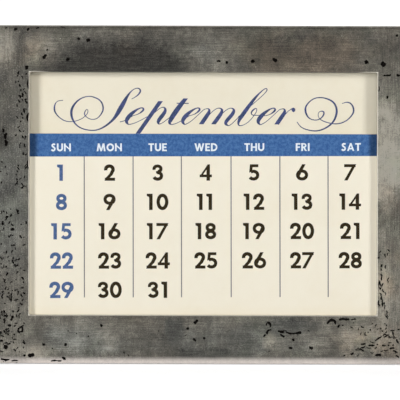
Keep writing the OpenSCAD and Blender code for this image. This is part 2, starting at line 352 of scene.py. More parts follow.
# %% [markdown]
# ## Light
#
# Two tall soft lamps stand to the left and right of the camera, each about 47 degrees off the way
# the face looks. Together they give the cards even light, and each throws the lip's shadow on the
# cards beside it; because they are tall, the shadow under the window's upper edge is soft. A
# lamp's irradiance on a sheet facing it is its power over pi times the square of its distance, and
# a white sheet then shows that over pi; the power is worked out from that. Weaker, larger lamps
# behind let the back be seen.

# %% Lamps
AIM = on_face(0.0, 0.0, 62.0)[0]
LAMP_FROM = 1.2


def lamp(name, azimuth, rise, wide, tall, share):
    """An oval lamp that lights a white sheet at the aim, turned square to it, to the share. The
    azimuth and rise, in degrees, say where it stands, seen from the aim."""
    azimuth, rise = math.radians(azimuth), math.radians(rise)
    data = bpy.data.lights.new(name, "AREA")
    data.shape, data.size, data.size_y = "ELLIPSE", wide, tall
    data.energy = share * math.pi ** 2 * LAMP_FROM ** 2
    way = math.sin(azimuth) * math.cos(rise) * RIGHT
    way = way - math.cos(azimuth) * math.cos(rise) * BACK + math.sin(rise) * UP
    made = bpy.data.objects.new(name, data)
    made.location = Vector(AIM + way * LAMP_FROM)
    made.rotation_mode = "QUATERNION"
    made.rotation_quaternion = Vector(-way).to_track_quat("-Z", "Y")
    bpy.context.scene.collection.objects.link(made)


lamp("lamp_left", -45.5, 4.5, 0.36, 0.95, 0.715)
lamp("lamp_right", 49.5, 4.5, 0.40, 0.95, 0.60)
lamp("lamp_above", 0.0, 22.0, 0.55, 0.55, 0.055)
lamp("lamp_back_left", -145.0, 38.0, 0.6, 0.6, 0.30)
lamp("lamp_back_right", 145.0, 38.0, 0.6, 0.6, 0.30)
print("lamps:", len(bpy.data.lights))

# %% [markdown]
# ## The room
#
# The room is a plain soft light. Seen by the camera it is white; seen in metal it is white near
# the horizon and dimmer overhead, as a studio is. Light Path says which kind of ray asks, so the
# white behind the calendar adds no light to it. The world has nodes of its own, and a small class
# lends it the node maker of the materials.

# %% World
ROOM_LIGHT = 0.055


class Room(Finish):
    """The same node maker, on the world's own nodes."""

    def __init__(self, tree):
        self.tree = tree
        tree.nodes.clear()
        self.output = tree.nodes.new("ShaderNodeOutputWorld")
        self.shader = tree.nodes.new("ShaderNodeBackground")
        tree.links.new(self.shader.outputs[0], self.output.inputs["Surface"])


def looks(finish):
    """Three masks: seen straight by the camera, seen in shiny things, and seen through clear
    ones."""
    names = ("Is Camera Ray", "Is Glossy Ray", "Is Transmission Ray")
    return [finish.node("ShaderNodeLightPath", out=name) for name in names]


world = bpy.data.worlds.new("room")
bpy.context.scene.world = world
world.use_nodes = True
room = Room(world.node_tree)
seen, shone, through = looks(room)
heading = room.node("ShaderNodeTexCoord", out="Generated")
overhead = room.node("ShaderNodeSeparateXYZ", None, {0: heading}, out=2).rise(0.35, 0.85)
mirrored = shone * (1.0 - 0.55 * overhead)
strength = ROOM_LIGHT + (1.0 - ROOM_LIGHT) * seen.most(mirrored).most(through)
room.set(Color=(1.0, 1.0, 1.0), Strength=strength)
print("world nodes:", len(room.tree.nodes))

# %% [markdown]
# ## The floor
#
# The floor is a large white sheet that glows to the camera, more in front of the calendar and far
# away, where less of the lamps' light falls. So it reads as white, but still takes the calendar's
# shadow behind and underneath. It belongs to the stage, not to the object.

# %% Floor
FLOOR = 6.0
floor_paint = Finish("floor_white")
floor_paint.set(Base_Color=(0.60, 0.60, 0.60), Roughness=0.9, Specular_IOR_Level=0.0)
seen, shone, through = looks(floor_paint)
x, y, z = (part * MM for part in floor_paint.face_place())
far = (x * x + y * y).root().rise(0.25, 1.0)
glow = seen.most(shone).most(through) * (0.70 + 0.18 * y.rise(0.0, -0.05)).most(0.99 * far)
floor_paint.set(Emission_Color=floor_paint.mix(glow, (0.0, 0.0, 0.0), (1.0, 1.0, 1.0)))
floor_paint.set(Emission_Strength=1.0)
corners = np.array([[-FLOOR, -FLOOR, 0], [FLOOR, -FLOOR, 0], [FLOOR, FLOOR, 0], [-FLOOR, FLOOR, 0]])
floor = new_piece("floor", corners, [[0, 1, 2, 3]], [floor_paint])
bpy.context.scene.view_settings.view_transform = "Standard"
print("floor %.0f m square" % (2 * FLOOR))

# %% [markdown]
# ## The metal
#
# The frame is a rough casting of a grey pot metal, brushed once with a coarse belt and then left
# to darken. Its colour is a mottle of greenish, brownish and bluish greys. Noise alone gives a
# mottle but not this one, so a few soft patches, darker and lighter, are also listed, and the
# noise pushes their edges about.

# %% Patches on the casting
# Soft patches: x, z, reach along x, reach along z, how much lighter, and how much browner
METAL_PATCHES = [
    (-34.0, 107.0, 32.0, 13.0, -0.50, 0.0), (-14.0, 110.0, 12.0, 9.0, -0.12, -0.3),
    (-19.3, 111.5, 2.4, 1.8, -0.16, 0.0), (-66.5, 114.0, 3.2, 9.0, -0.20, 0.1),
    (-73.0, 116.0, 7.0, 9.0, 0.30, 0.1), (-59.0, 114.0, 10.0, 9.0, 0.20, 0.1),
    (7.0, 112.0, 21.0, 9.0, 0.09, -0.3), (30.0, 116.0, 9.0, 6.0, -0.12, -0.3),
    (40.0, 113.0, 42.0, 13.0, -0.06, 0.8), (48.0, 110.0, 12.0, 5.0, 0.13, 0.0),
    (68.0, 76.0, 11.0, 29.0, 0.35, -0.1), (70.0, 48.0, 9.0, 12.0, 0.00, 0.0),
    (69.0, 27.0, 10.0, 16.0, 0.17, 0.3), (65.5, 31.0, 4.0, 22.0, 0.26, 0.1),
    (-74.5, 82.0, 5.0, 5.0, -0.35, 0.5), (-73.0, 99.0, 5.0, 7.0, -0.14, 0.0),
    (-66.0, 84.0, 4.0, 10.0, 0.12, 0.0), (-73.0, 36.0, 4.0, 12.0, 0.07, 0.0),
    (-71.0, 60.0, 10.0, 36.0, 0.01, -1.0), (-70.0, 48.0, 9.0, 14.0, 0.10, -0.2),
    (-72.0, 62.0, 6.0, 6.0, -0.12, -0.8), (-70.0, 94.0, 9.0, 12.0, -0.05, 0.0),
    (-10.6, 13.0, 4.2, 7.0, -0.16, -1.1), (-18.0, 13.0, 4.0, 6.0, 0.06, 0.2),
    (24.6, 8.5, 3.2, 3.6, 0.20, 0.8), (33.0, 14.5, 13.0, 4.0, -0.10, -0.9),
    (8.0, 9.0, 36.0, 10.0, 0.03, -0.8), (-43.0, 9.0, 21.0, 10.0, 0.17, -0.8),
    (-27.0, 13.5, 5.0, 4.0, 0.12, 0.0), (-70.0, 6.0, 6.0, 5.0, 0.16, 0.0),
    (-55.0, 11.0, 12.0, 6.0, -0.04, -0.6), (-62.0, 4.5, 7.0, 4.0, 0.20, 0.2),
    (-34.0, 5.0, 3.5, 2.4, 0.10, -0.2), (63.0, 9.0, 16.0, 9.0, 0.21, 0.7),
    (2.0, 4.0, 24.0, 3.0, -0.12, -0.3), (-19.0, 118.5, 16.0, 7.0, -0.13, 0.0),
    (66.0, 90.0, 5.0, 6.0, 0.15, 0.0), (71.5, 60.0, 6.0, 6.0, -0.13, 0.0),
    (72.0, 102.0, 7.0, 7.0, -0.06, -0.3),
]
print("patches:", len(METAL_PATCHES))

# %% [markdown]
# The skin's noise has four sizes, from drifts as wide as a thumb to single grains. Scratches are
# noise that is stretched one way. The top and bottom members carry level scratches and the two
# full-height side members upright ones, as if four bars had been finished apart.

# %% Noise of the casting's skin
# How many swells each cloud has in a millimetre
CLOUD, BLOT, STAIN, GRAIN = 0.04, 0.16, 0.6, 2.4


def skin_noises(metal, x, y, z):
    """The vector of the place, the four clouds from wide to fine, and the scratches."""
    at = metal.join(x, y, z)
    side = abs(x).rise(HALF_WINDOW - 0.3, HALF_WINDOW + 0.3)
    level = metal.join(x * 0.10, y * 0.5, z * 2.6)
    upright = metal.join(x * 2.2 + 40.0, y * 0.5, z * 0.12)
    run = metal.node("ShaderNodeMix", {"data_type": "VECTOR"}, {0: side, 4: level, 5: upright}, 1)
    streaks = metal.noise(run, 1.0, 3.0, 0.6)
    clouds = metal.noise(at, CLOUD, 3.0, 0.55)
    blots = metal.noise(at, BLOT, 3.0, 0.6)
    stains = metal.noise(at, STAIN, 4.0, 0.7)
    grain = metal.noise(at, GRAIN, 3.0, 0.75)
    return at, clouds, blots, stains, grain, streaks


print("drifts %.0f mm across, grains %.1f mm" % (1 / CLOUD, 1 / GRAIN))

# %% [markdown]
# One number, the tone, says how light the skin is, and another, the heat, how brown. Each noise
# moves the tone by its weight, and each patch lifts both inside a soft ellipse. However dark a
# patch is, its grain still shows, so the tone is kept above a floor that has grain of its own. A
# ramp turns the tone into a grey, and the heat and a third drift tint it.

# %% Colour of the casting's skin
GREYS = [(0.0, (0.015, 0.0140, 0.0125)), (0.28, (0.038, 0.0350, 0.0280)),
         (0.50, (0.080, 0.0735, 0.0590)), (0.74, (0.165, 0.1540, 0.1260)),
         (1.0, (0.31, 0.29, 0.24))]
BROWNER, BLUER, GREENER = (1.12, 0.97, 0.86), (0.93, 1.0, 1.07), (0.96, 1.04, 0.92)
PATCH_LIFT = 1.35


def skin_tone(metal, x, z, at, clouds, blots, stains, grain, streaks):
    """The tone and the heat: one half plus each noise's weighted swing, plus each patch's lift
    where the distance from its middle, in reaches, is under about one."""
    weights = ((clouds, 0.70), (blots, 0.60), (stains, 0.65), (streaks, 0.64), (grain, 0.90))
    tone = 0.5
    for noise, weight in weights:
        tone = tone + (noise - 0.5) * weight
    drift = metal.noise(metal.vector("ADD", at, (70.0, 0.0, 30.0)), 0.06, 3.0, 0.6)
    heat = (drift - 0.5) * 2.4
    sway, swing = (blots - 0.5) * 7.0, (stains - 0.5) * 5.0
    for px, pz, wide, tall, lift, warm in METAL_PATCHES:
        dx, dz = (x + sway - px) * (1.0 / wide), (z + swing - pz) * (1.0 / tall)
        spread = (dx * dx + dz * dz).root().rise(1.15, 0.15)
        tone = tone + spread * (PATCH_LIFT * lift)
        heat = heat + spread * warm
    least = 0.10 + (grain - 0.5) * 0.90 + (streaks - 0.5) * 0.70 + (stains - 0.5) * 0.50
    return tone.most(least), heat


def skin_colour(metal, at, tone, heat):
    """The grey of the tone, tinted brown where the heat is positive and blue where it is
    negative, and green where a slow drift is high."""
    colour = metal.node("ShaderNodeValToRGB", {"stops": GREYS}, {0: tone})
    drift = metal.noise(metal.vector("ADD", at, (9.0, 50.0, 77.0)), 0.09, 3.0, 0.6)
    colour = metal.mix(heat.rise(0.0, 1.0), colour, BROWNER, "MULTIPLY")
    colour = metal.mix(heat.rise(0.0, -1.0), colour, BLUER, "MULTIPLY")
    return metal.mix(drift.rise(0.50, 0.64) * 0.35, colour, GREENER, "MULTIPLY")


print("darkest and lightest skin:", GREYS[0][1], GREYS[-1][1])

# %% [markdown]
# The metal is bright along its edges, partly rubbed bare and partly painted light. The window's
# edge is bare metal with a painted highlight where the side lamps light it, so it is fainter
# along the window's top; the lower front round is bare metal with a painted reflection of the
# white desk; the upper edge has a thin painted highlight, and the outer ones are thinly rubbed
# bare. Distances to these edges make the masks, and the grain breaks them up.

# %% Rubbed edges and painted highlights
# Bare metal with a painted highlight on the edges, and with a painted reflection of the desk on the
# foot
EDGE_WEAR_AND_HIGHLIGHT, FOOT_WEAR_AND_REFLECTION = (0.66, 0.625, 0.55), (0.72, 0.655, 0.61)


def rubbed_edges(x, y, z, stains, grain):
    """How bright the edges are at the window, top and ends, as bare metal and painted highlight,
    and how bright along the foot, as bare metal and a painted reflection of the desk.
    """
    patchy = (grain * 0.5 + stains * 0.7).rise(0.40, 0.80)
    out = (abs(x) - HALF_WINDOW).most(abs(z - WINDOW_MID) - HALF_WINDOW_H)
    # Painted highlight: the window's edge is fainter along its top, where the side lamps light it less
    above = (z - WINDOW_MID).rise(HALF_WINDOW_H - 0.5, HALF_WINDOW_H + 0.1)
    above = above * abs(x).rise(62.0, 55.0)
    lip = out.rise(0.28, 0.10) * (0.90 - 0.84 * above) * (0.78 + 0.22 * patchy)
    front = y.rise(3.2, 1.6)
    # Painted reflection of the white desk, over bare metal, on the lower front round
    lower = z.rise(3.1, 0.5) * front * (0.80 + 0.20 * patchy)
    # A thin painted highlight along the upper edge
    upper = (z - FRAME_H).rise(-0.9, -0.2) * (0.30 + 0.45 * patchy)
    ends = (abs(x) - FRAME_W / 2).rise(-1.0, -0.2) * front * (0.15 + 0.55 * patchy)
    return lip.most(upper).most(ends), lower


print("bare metal is %.0f times as light as the darkest skin" % (EDGE_WEAR_AND_HIGHLIGHT[0] / GREYS[0][1][0]))

# %% [markdown]
# The casting is also full of pits too small to cut: dips in the bump, and dark dots in the colour
# that are painted shade. They come from the distance to the nearest of many scattered points, and
# so do a few light specks. Where the larger holes crowd together, the skin between them has fine
# light flecks, and is darker where there are none. The walls of those holes, which are cut further
# on, get a rough and nearly black finish of their own, which is painted shade.

# %% The casting's finish
def pitted(metal, x, z, at, colour):
    """The colour with small pits, painted dark as shade, which are denser on the left member, light
    specks and light flecks, and where the pits are."""
    crowd = x.rise(-58.0, -72.0) * z.rise(66.0, 44.0)
    size = 0.03 + 0.14 * metal.noise(at, 0.5, 1.0).rise(0.56, 0.7) + 0.16 * crowd
    pits = (metal.dots(at, 0.62) - size).rise(0.04, 0.0) * (0.3 + 0.7 * crowd)
    # Painted shade: the small pits are dark dots in the colour
    colour = metal.mix(pits * 0.9, colour, (0.010, 0.009, 0.008))
    specks = metal.dots(at, 0.21).rise(0.032, 0.018)
    colour = metal.mix(specks * 0.7, colour, (0.62, 0.58, 0.50))
    crusty = x.rise(-61.0, -66.0).most(x.rise(54.0, 62.0) * z.rise(20.0, 14.0))
    # Light flecks where the holes crowd, and darker skin between them
    light_flecks = metal.noise(at, 1.9, 2.0, 0.7).rise(0.56, 0.68) * crusty
    colour = metal.mix(light_flecks * 0.45, colour, (0.33, 0.32, 0.275))
    colour = metal.mix(crusty * (1.0 - light_flecks) * 0.16, colour, (0.03, 0.028, 0.024))
    return colour, pits


def metal_finish(name):
    """Dark brushed cast metal with bright edges, partly rubbed bare and partly painted highlight and
    reflection. The darkest skin is a little more metallic, so that it mirrors less of the pale room."""
    metal = Finish(name)
    x, y, z = metal.face_place()
    at, clouds, blots, stains, grain, streaks = skin_noises(metal, x, y, z)
    tone, heat = skin_tone(metal, x, z, at, clouds, blots, stains, grain, streaks)
    colour = skin_colour(metal, at, tone, heat)
    bare, foot = rubbed_edges(x, y, z, stains, grain)
    # The edges' painted highlight and the foot's painted reflection, over bare metal
    colour = metal.mix(bare, colour, EDGE_WEAR_AND_HIGHLIGHT)
    colour = metal.mix(foot, colour, FOOT_WEAR_AND_REFLECTION)
    bare = bare.most(foot)
    colour, pits = pitted(metal, x, z, at, colour)
    height = streaks * 0.25 + grain * 0.45 + stains * 0.5 + blots * 0.4 - pits * 0.9
    metal.set(Base_Color=colour)
    metal.set(Metallic=0.30 + 0.4 * bare + 0.45 * tone.rise(0.30, 0.0) * (1.0 - bare))
    metal.set(Roughness=0.55 + (grain - 0.5) * 0.3 - bare * 0.12)
    metal.set(Normal=metal.bump(height, 0.00014, 0.5))
    return metal


CAST_METAL = metal_finish("cast_metal")
# Painted shade: the holes' walls are near black, standing for the shade inside them
PIT_DARK = Finish("pit_dark")
pit_shade_mottle = PIT_DARK.noise(PIT_DARK.place, 2500.0, 2.0)
pit_colour = PIT_DARK.mix(pit_shade_mottle, (0.004, 0.0037, 0.003), (0.016, 0.014, 0.012))
PIT_DARK.set(Base_Color=pit_colour, Roughness=0.85, Specular_IOR_Level=0.0)
print("metal nodes:", len(CAST_METAL.tree.nodes))

# %% [markdown]
# ## The frame's casting
#
# A picture frame is a moulding whose section is carried round an outline. It could be four bars
# joined at the corners, but a casting has no joints, so one section goes all the way round. It
# starts on the back, runs forward up the outer wall, over the 2 mm round, across the flat face,
# over the worn edge of the window and back through the window's wall. Both directions close on
# themselves, so the whole casting is one grid with no edges. The outline of each row of the grid
# is a rectangle with round corners, all with the same number of points, so that the rows join
# point to point.

# %% Outlines with the same number of points
CORNER_POINTS, SIDE_POINTS = 7, 50


def outline(half_w, low, high, r_low, r_high):
    """Points round a rectangle, anticlockwise from its right side, as x and z. Each corner is a
    quarter circle: its centre, plus r times the cosine and sine of an angle that runs through
    90 degrees. Each side is divided evenly."""
    turn = np.linspace(0, np.pi / 2, CORNER_POINTS)
    corners = [(half_w, high, r_high, 0), (-half_w, high, r_high, 1),
               (-half_w, low, r_low, 2), (half_w, low, r_low, 3)]
    arcs = []
    for cx, cz, r, quarter in corners:
        angle = turn + quarter * np.pi / 2
        arcs.append(np.stack([cx - np.sign(cx) * r + r * np.cos(angle),
                              cz - (r if quarter < 2 else -r) + r * np.sin(angle)], 1))
    parts = []
    for arc, following in zip(arcs, arcs[1:] + arcs[:1]):
        share = np.linspace(0, 1, SIDE_POINTS + 2)[1:-1, None]
        parts += [arc, arc[-1] * (1 - share) + following[0] * share]
    return np.concatenate(parts)


def frame_outline(inset):
    """The frame's outer edge, moved inwards by inset."""
    return outline(FRAME_W / 2 - inset, inset, FRAME_H - inset,
                   max(FOOT_CORNER_R - inset, 0.02), max(CORNER_R - inset, 0.02))


def window_outline(outset):
    """The window's edge, moved outwards by outset."""
    return outline(HALF_WINDOW + outset, WINDOW_LOW - outset, WINDOW_HIGH + outset,
                   WINDOW_R + outset, WINDOW_R + outset)


print("points round an outline:", len(frame_outline(0)))

# %% The casting as one closed grid
# Each row of the section is an outline and its depth behind the face
LIP_EDGE, BACK_EDGE = 0.15, 0.4
section = [(frame_outline(BACK_EDGE), FRAME_T), (frame_outline(0.1), FRAME_T - 0.1),
           (frame_outline(0.0), FRAME_T - BACK_EDGE), (frame_outline(0.0), 5.5)]
for angle in np.radians([0, 15, 30, 45, 60, 75, 90]):
    inset, depth = EDGE_R * (1 - math.cos(angle)), EDGE_R * (1 - math.sin(angle))
    section.append((frame_outline(inset), depth))
outer_flat, inner_flat = frame_outline(EDGE_R), window_outline(LIP_EDGE)
for share in np.linspace(0, 1, 9)[1:-1]:
    section.append((outer_flat * (1 - share) + inner_flat * share, 0.0))
for angle in np.radians([0, 30, 60, 90]):
    section.append((window_outline(LIP_EDGE * (1 - math.sin(angle))),
                    LIP_EDGE * (1 - math.cos(angle))))
section += [(window_outline(0.0), 1.3), (window_outline(0.0), FRAME_T)]
for share in (0.3, 0.6):
    back = window_outline(0.0) * (1 - share) + frame_outline(BACK_EDGE) * share
    section.append((back, FRAME_T))

flat = np.array([np.column_stack([line[:, 0], np.full(len(line), depth), line[:, 1]])
                 for line, depth in section])
rows, columns = flat.shape[:2]
quads = grid_faces(rows, columns, close_rows=True)
casting = new_piece("frame_casting", on_face(*flat.reshape(-1, 3).T), quads,
                    [CAST_METAL, PIT_DARK])
print("casting grid: %d rows of %d points" % (rows, columns))

# %% [markdown]
# ## Cutting the casting
#
# The pocket for the cards, the shallow rebate for the back plate and the flat underside are
# machined, so here they are cut with Boolean modifiers, as a mill would. First come the blocks
# that stand for the mill's passes; they reach well past the casting where a pass runs out of it.
# The underside is ground level with the desk while the frame leans, so that block is set in desk
# coordinates: its top is as high as the felt is thick.

# %% Blocks that cut the pocket, the rebate and the underside
CUT_LIST = []
ABOVE, BEHIND = FRAME_H + 6.3, FRAME_T + 3.0
FELT_T = 0.6


def on_desk(x, y, z):
    """Desk coordinates in metres, of desk coordinates in millimetres."""
    return np.stack([x, y, z], 1) * MM


def block(name, lows, highs, place=on_face):
    """A box between its lowest and its highest corner, as a cutting tool."""
    x, y, z = (part.ravel() for part in np.meshgrid(*zip(lows, highs), indexing="ij"))
    sides = [(0, 1, 3, 2), (4, 6, 7, 5), (0, 4, 5, 1), (2, 3, 7, 6), (0, 2, 6, 4), (1, 5, 7, 3)]
    CUT_LIST.append(new_piece(name, place(x, y, z), sides, [CAST_METAL]))


half_pocket, half_rebate = POCKET_W / 2, FRAME_W / 2 - PLATE_RIM
block("pocket_tool", (-half_pocket, LIP_T, POCKET_FLOOR), (half_pocket, POCKET_BACK + 0.1, ABOVE))
block("rebate_tool", (-half_rebate, POCKET_BACK, PLATE_RIM_BELOW), (half_rebate, BEHIND, ABOVE))
block("ground_tool", (-90.0, -30.0, -20.0), (90.0, 30.0, FELT_T), on_desk)
print("blocks:", [tool.name for tool in CUT_LIST])

# %% [markdown]
# Sand casting leaves blow-holes where gas was caught, and here the eye goes to them first. Painted
# dots would look flat from the side, so they are cut as well. A blow-hole is a short worm: its
# width swells and shrinks along a slightly bent line. All of them together are one array: holes by
# steps along the worm by points round its section. They bite into the face, and their walls keep
# the near-black finish of the cutter, which is painted shade.

# %% Worm-shaped holes
STEPS, AROUND = 11, 10


def holes(name, x, z, length, width, lean, turn, depth, seed):
    """Worm-shaped holes in the front face. Along a worm, t runs from -1 to 1. Its heading is the
    lean plus half its turn times t, and its middle line adds up small steps that way. Its radius
    is half the width times the fourth root of 1 - t * t, roughened. Round it, the section is an
    ellipse as wide as that and as deep as the depth."""
    rng = np.random.default_rng(seed)
    count = len(x)
    t = np.linspace(-1, 1, STEPS)[None, :]
    radius = 0.5 * width[:, None] * np.sqrt(np.sqrt(np.clip(1 - t ** 2, 0.0, 1.0)) + 0.02)
    radius = radius * (1 + 0.20 * rng.standard_normal((count, STEPS)))
    heading = np.radians(lean[:, None] + 0.5 * turn[:, None] * t)
    heading = heading + 0.25 * np.sin(3.0 * t + rng.uniform(0, 6, (count, 1)))
    way_x, way_z = np.cos(heading), np.sin(heading)
    pace = np.maximum(length, width)[:, None] / (STEPS - 1)
    mid_x, mid_z = np.cumsum(way_x, 1) * pace, np.cumsum(way_z, 1) * pace
    mid_x = mid_x - mid_x.mean(1, keepdims=True) + x[:, None]
    mid_z = mid_z - mid_z.mean(1, keepdims=True) + z[:, None]
    a = np.linspace(0, 2 * np.pi, AROUND, endpoint=False)[None, None, :]
    aside = radius[..., None] * np.cos(a)
    deep = depth[:, None, None] * (radius / (0.5 * width[:, None]))[..., None] * np.sin(a)
    px = mid_x[..., None] - aside * way_z[..., None]
    pz = mid_z[..., None] + aside * way_x[..., None]
    points = on_face(px, deep, pz)
    one = grid_faces(STEPS, AROUND)[:, ::-1]
    first = (np.arange(count) * STEPS * AROUND)[:, None]
    sides = (one + first[..., None]).reshape(-1, 4).tolist()
    ring = np.arange(AROUND)
    starts = (first + ring).tolist()
    ends = (first + (STEPS - 1) * AROUND + ring[::-1]).tolist()
    faces = sides + starts + ends
    tool = new_piece(name, points, faces, [CAST_METAL, PIT_DARK], slots=np.ones(len(faces)))
    CUT_LIST.append(tool)


print("points of one worm:", STEPS * AROUND)

# %% [markdown]
# The largest blow-holes are placed one by one, to about half a millimetre. A row of the list is a
# hole's x, z, length, width, lean and turn. The first rows are on the top member, and then come
# the left one from the window's top down, the lower left corner, the bottom member and the right
# one.

# %% Blow-holes placed one by one
PLACED_HOLES = [
    (-72, 122.5, 1, 0.6, 0, 0), (-68.5, 122, 1.5, 1.1, 10, 0), (-64, 122, 1.2, 1.1, 30, 0),
    (-60.5, 122.5, 1.5, 0.7, 25, 0), (-55, 123, 2, 0.8, 0, 0), (-51.5, 123, 2.5, 0.8, 0, 0),
    (-45.5, 118.5, 1.2, 0.9, -10, 0), (-42, 118, 1.5, 1.4, 20, 0), (-58, 112, 2, 1.3, 60, 60),
    (-49.5, 111, 1.5, 1, 15, 0), (-64.5, 108, 1.5, 1.3, 100, 0), (5.5, 110.5, 1.5, 0.8, 5, 0),
    (8.5, 110, 1, 1, 0, 0), (18, 110.5, 1.5, 1.3, -30, 0), (26, 111, 2, 1.3, -20, 0),
    (70.5, 120, 1, 0.9, 0, 0), (59.5, 110.5, 1.5, 1.3, -25, 90), (65.5, 109.5, 2, 1.6, -35, 0),
    (67, 105.5, 3, 0.7, 5, 60), (71, 105.5, 1.5, 0.8, -5, 0), (-57, 114.5, 0.7, 0.7, 0, 0),

    (-64, 102, 3.5, 0.6, 90, 10), (-66, 98, 1.5, 0.9, 85, 30), (-64, 90, 3.5, 0.7, 90, -15),
    (-73, 85, 1.5, 0.9, 100, 150), (-72, 83, 2.5, 1.1, 80, -150), (-72, 80.5, 2.5, 1.2, 100, 90),
    (-64, 72.5, 3.5, 0.5, 90, 0), (-71.5, 53.5, 1.1, 1, 0, 0), (-73, 51, 1, 0.9, 0, 0),
    (-69.5, 49, 1.3, 1.2, 60, 0), (-64.5, 51.5, 1.2, 0.7, 90, 0),

    (-72.5, 18, 2, 1.6, 0, 0), (-69.5, 16.5, 2, 1, 60, -120), (-70.5, 14, 1.5, 0.8, 5, 0),
    (-66.5, 12.5, 5.5, 0.8, 0, 330), (-72, 11.5, 2, 0.8, -40, 40), (-72, 6.5, 2.5, 1.4, 85, 60),
    (-58, 7, 1.1, 1, 0, 0), (-50, 7, 1.2, 1, 80, 0), (-62.5, 3, 2.5, 1.3, 20, -60),
    (-65, 3, 1, 0.9, 0, 0), (-72, 1.5, 3.5, 0.7, 0, 0), (-68.5, 1, 3, 0.7, 0, 0),
    (-53.5, 1, 4.5, 0.7, 5, 0), (-50.5, 2, 1.5, 1.2, -60, 60),

    (-37, 14, 1, 1, 60, 0), (-2.5, 15.5, 2, 1.2, 50, 0), (-5.5, 13, 1, 0.9, -50, 0),
    (-3, 9, 1.5, 1, -40, 90), (0.5, 9.5, 1, 0.8, 90, 0), (24, 14.5, 3.5, 0.9, 0, -230),
    (24, 12, 3, 0.8, 60, -200), (22.5, 10.5, 1.2, 0.7, 40, 0), (29, 12, 3.5, 0.9, -5, 0),
    (32, 11.5, 6, 0.6, -5, 0), (35, 11.5, 2, 1, 10, 0), (29, 10.5, 2, 0.7, -30, 60),
    (33, 9, 1, 0.9, 0, 0), (32, 6, 1.5, 0.8, 5, 0), (39.5, 6, 1.5, 1.2, 0, 0),
    (47, 15.5, 5, 1, 0, -170), (49.5, 14, 1.3, 0.9, 70, 0), (51.5, 16.5, 4, 0.9, 5, 0),
    (55, 16.5, 2, 0.6, 0, 0), (58.5, 7.5, 2, 0.6, 0, 0), (61.5, 7, 2.5, 0.7, 5, 30),
    (66, 7, 1.5, 0.6, -5, 60), (64, 9.5, 3, 0.6, 30, 30), (67, 10.5, 2.5, 0.5, 20, 0),
    (69.5, 11, 2.5, 0.6, -70, 40), (71, 8.5, 2, 0.6, -60, 0), (69, 6, 2, 0.6, 0, 0),
    (64, 3.5, 2.5, 0.8, 0, 30), (54.5, 4, 1.5, 0.7, 30, 0), (71, 3, 1.5, 0.6, -30, 0),

    (65, 36, 1.3, 0.7, 80, 60), (64.5, 29, 3.5, 0.9, 90, 20), (65.5, 22.5, 3, 0.6, 90, 0),
    (64, 22.5, 2, 0.6, 90, 0), (64, 39, 0.8, 0.7, 0, 0), (67, 97.5, 1.3, 0.7, 80, 0),
    (64, 100.5, 2, 0.5, 90, 0),
]
print("placed blow-holes:", len(PLACED_HOLES))

# %% [markdown]
# The small ones come in crowds, and there it only matters how many there are and how they lie, so
# they are thrown at random from a fixed seed: thick on the lower left, a band up the left of the
# window, fine and mostly level on the lower right, fine beside the window there, and thin along
# the bottom.

# %% Crowds of blow-holes
rng = np.random.default_rng(11)


def crowd(count, x, z, length, width, lean, turn):
    """Rows of random holes: each argument after the count is a pair of least and most."""
    pairs = np.array([x, z, length, width, lean, turn], float)
    return pairs[:, 0] + (pairs[:, 1] - pairs[:, 0]) * rng.random((count, 6))


every = np.concatenate([
    np.array(PLACED_HOLES, float),
    crowd(95, (-76, -65), (4, 28), (0.5, 1.6), (0.36, 0.66), (0, 180), (-120, 120)),
    crowd(78, (-76, -65), (24, 57), (0.5, 1.5), (0.34, 0.62), (0, 180), (-120, 120)),
    crowd(56, (-68.5, -64.6), (64, 108), (0.5, 1.6), (0.36, 0.62), (30, 150), (-120, 120)),
    crowd(9, (-76, -70), (60, 100), (0.5, 1.2), (0.36, 0.50), (0, 180), (-120, 120)),
    crowd(34, (56, 76), (3, 14), (0.6, 2.0), (0.34, 0.55), (-35, 35), (-90, 90)),
    crowd(16, (54, 68), (11, 16), (0.5, 1.2), (0.30, 0.42), (0, 180), (-60, 60)),
    crowd(26, (64.5, 68), (16, 45), (0.6, 1.8), (0.34, 0.55), (50, 130), (-90, 90)),
    crowd(12, (-60, 62), (3, 15), (0.5, 1.0), (0.32, 0.5), (0, 180), (-60, 60))])
depths = rng.uniform(0.45, 0.75, len(every))
holes("blow_hole_tool", *every.T, depths, 5)
print("blow-holes:", len(every))

# %% [markdown]
# Each tool is a Boolean modifier, applied at once so that the tool can be thrown away. Manifold is
# the solver that keeps the tool's finish on the new walls and stays fast with thousands of faces.

# %% Cut, and tidy away the tools
for tool in CUT_LIST:
    cut = casting.modifiers.new(tool.name, "BOOLEAN")
    cut.operation, cut.solver, cut.object = "DIFFERENCE", "MANIFOLD", tool
    bpy.context.view_layer.update()
    graph = bpy.context.evaluated_depsgraph_get()
    cut_mesh = bpy.data.meshes.new_from_object(casting.evaluated_get(graph))
    casting.modifiers.clear()
    casting.data = cut_mesh
    print("after the %s: %d faces" % (tool.name, len(cut_mesh.polygons)))
    bpy.data.objects.remove(tool)
mesh = casting.data
mesh.name = "frame_casting"
mesh.polygons.foreach_set("use_smooth", np.ones(len(mesh.polygons), bool))
mesh.set_sharp_from_angle(angle=math.radians(38))

# %% [markdown]
# The casting is shaded smooth, so the rims of the holes have to be marked as sharp by hand. A rim
# is an edge whose two faces have different finishes. So for every edge the lowest and the highest
# finish number of its faces are gathered, and where they differ, the edge is a rim.

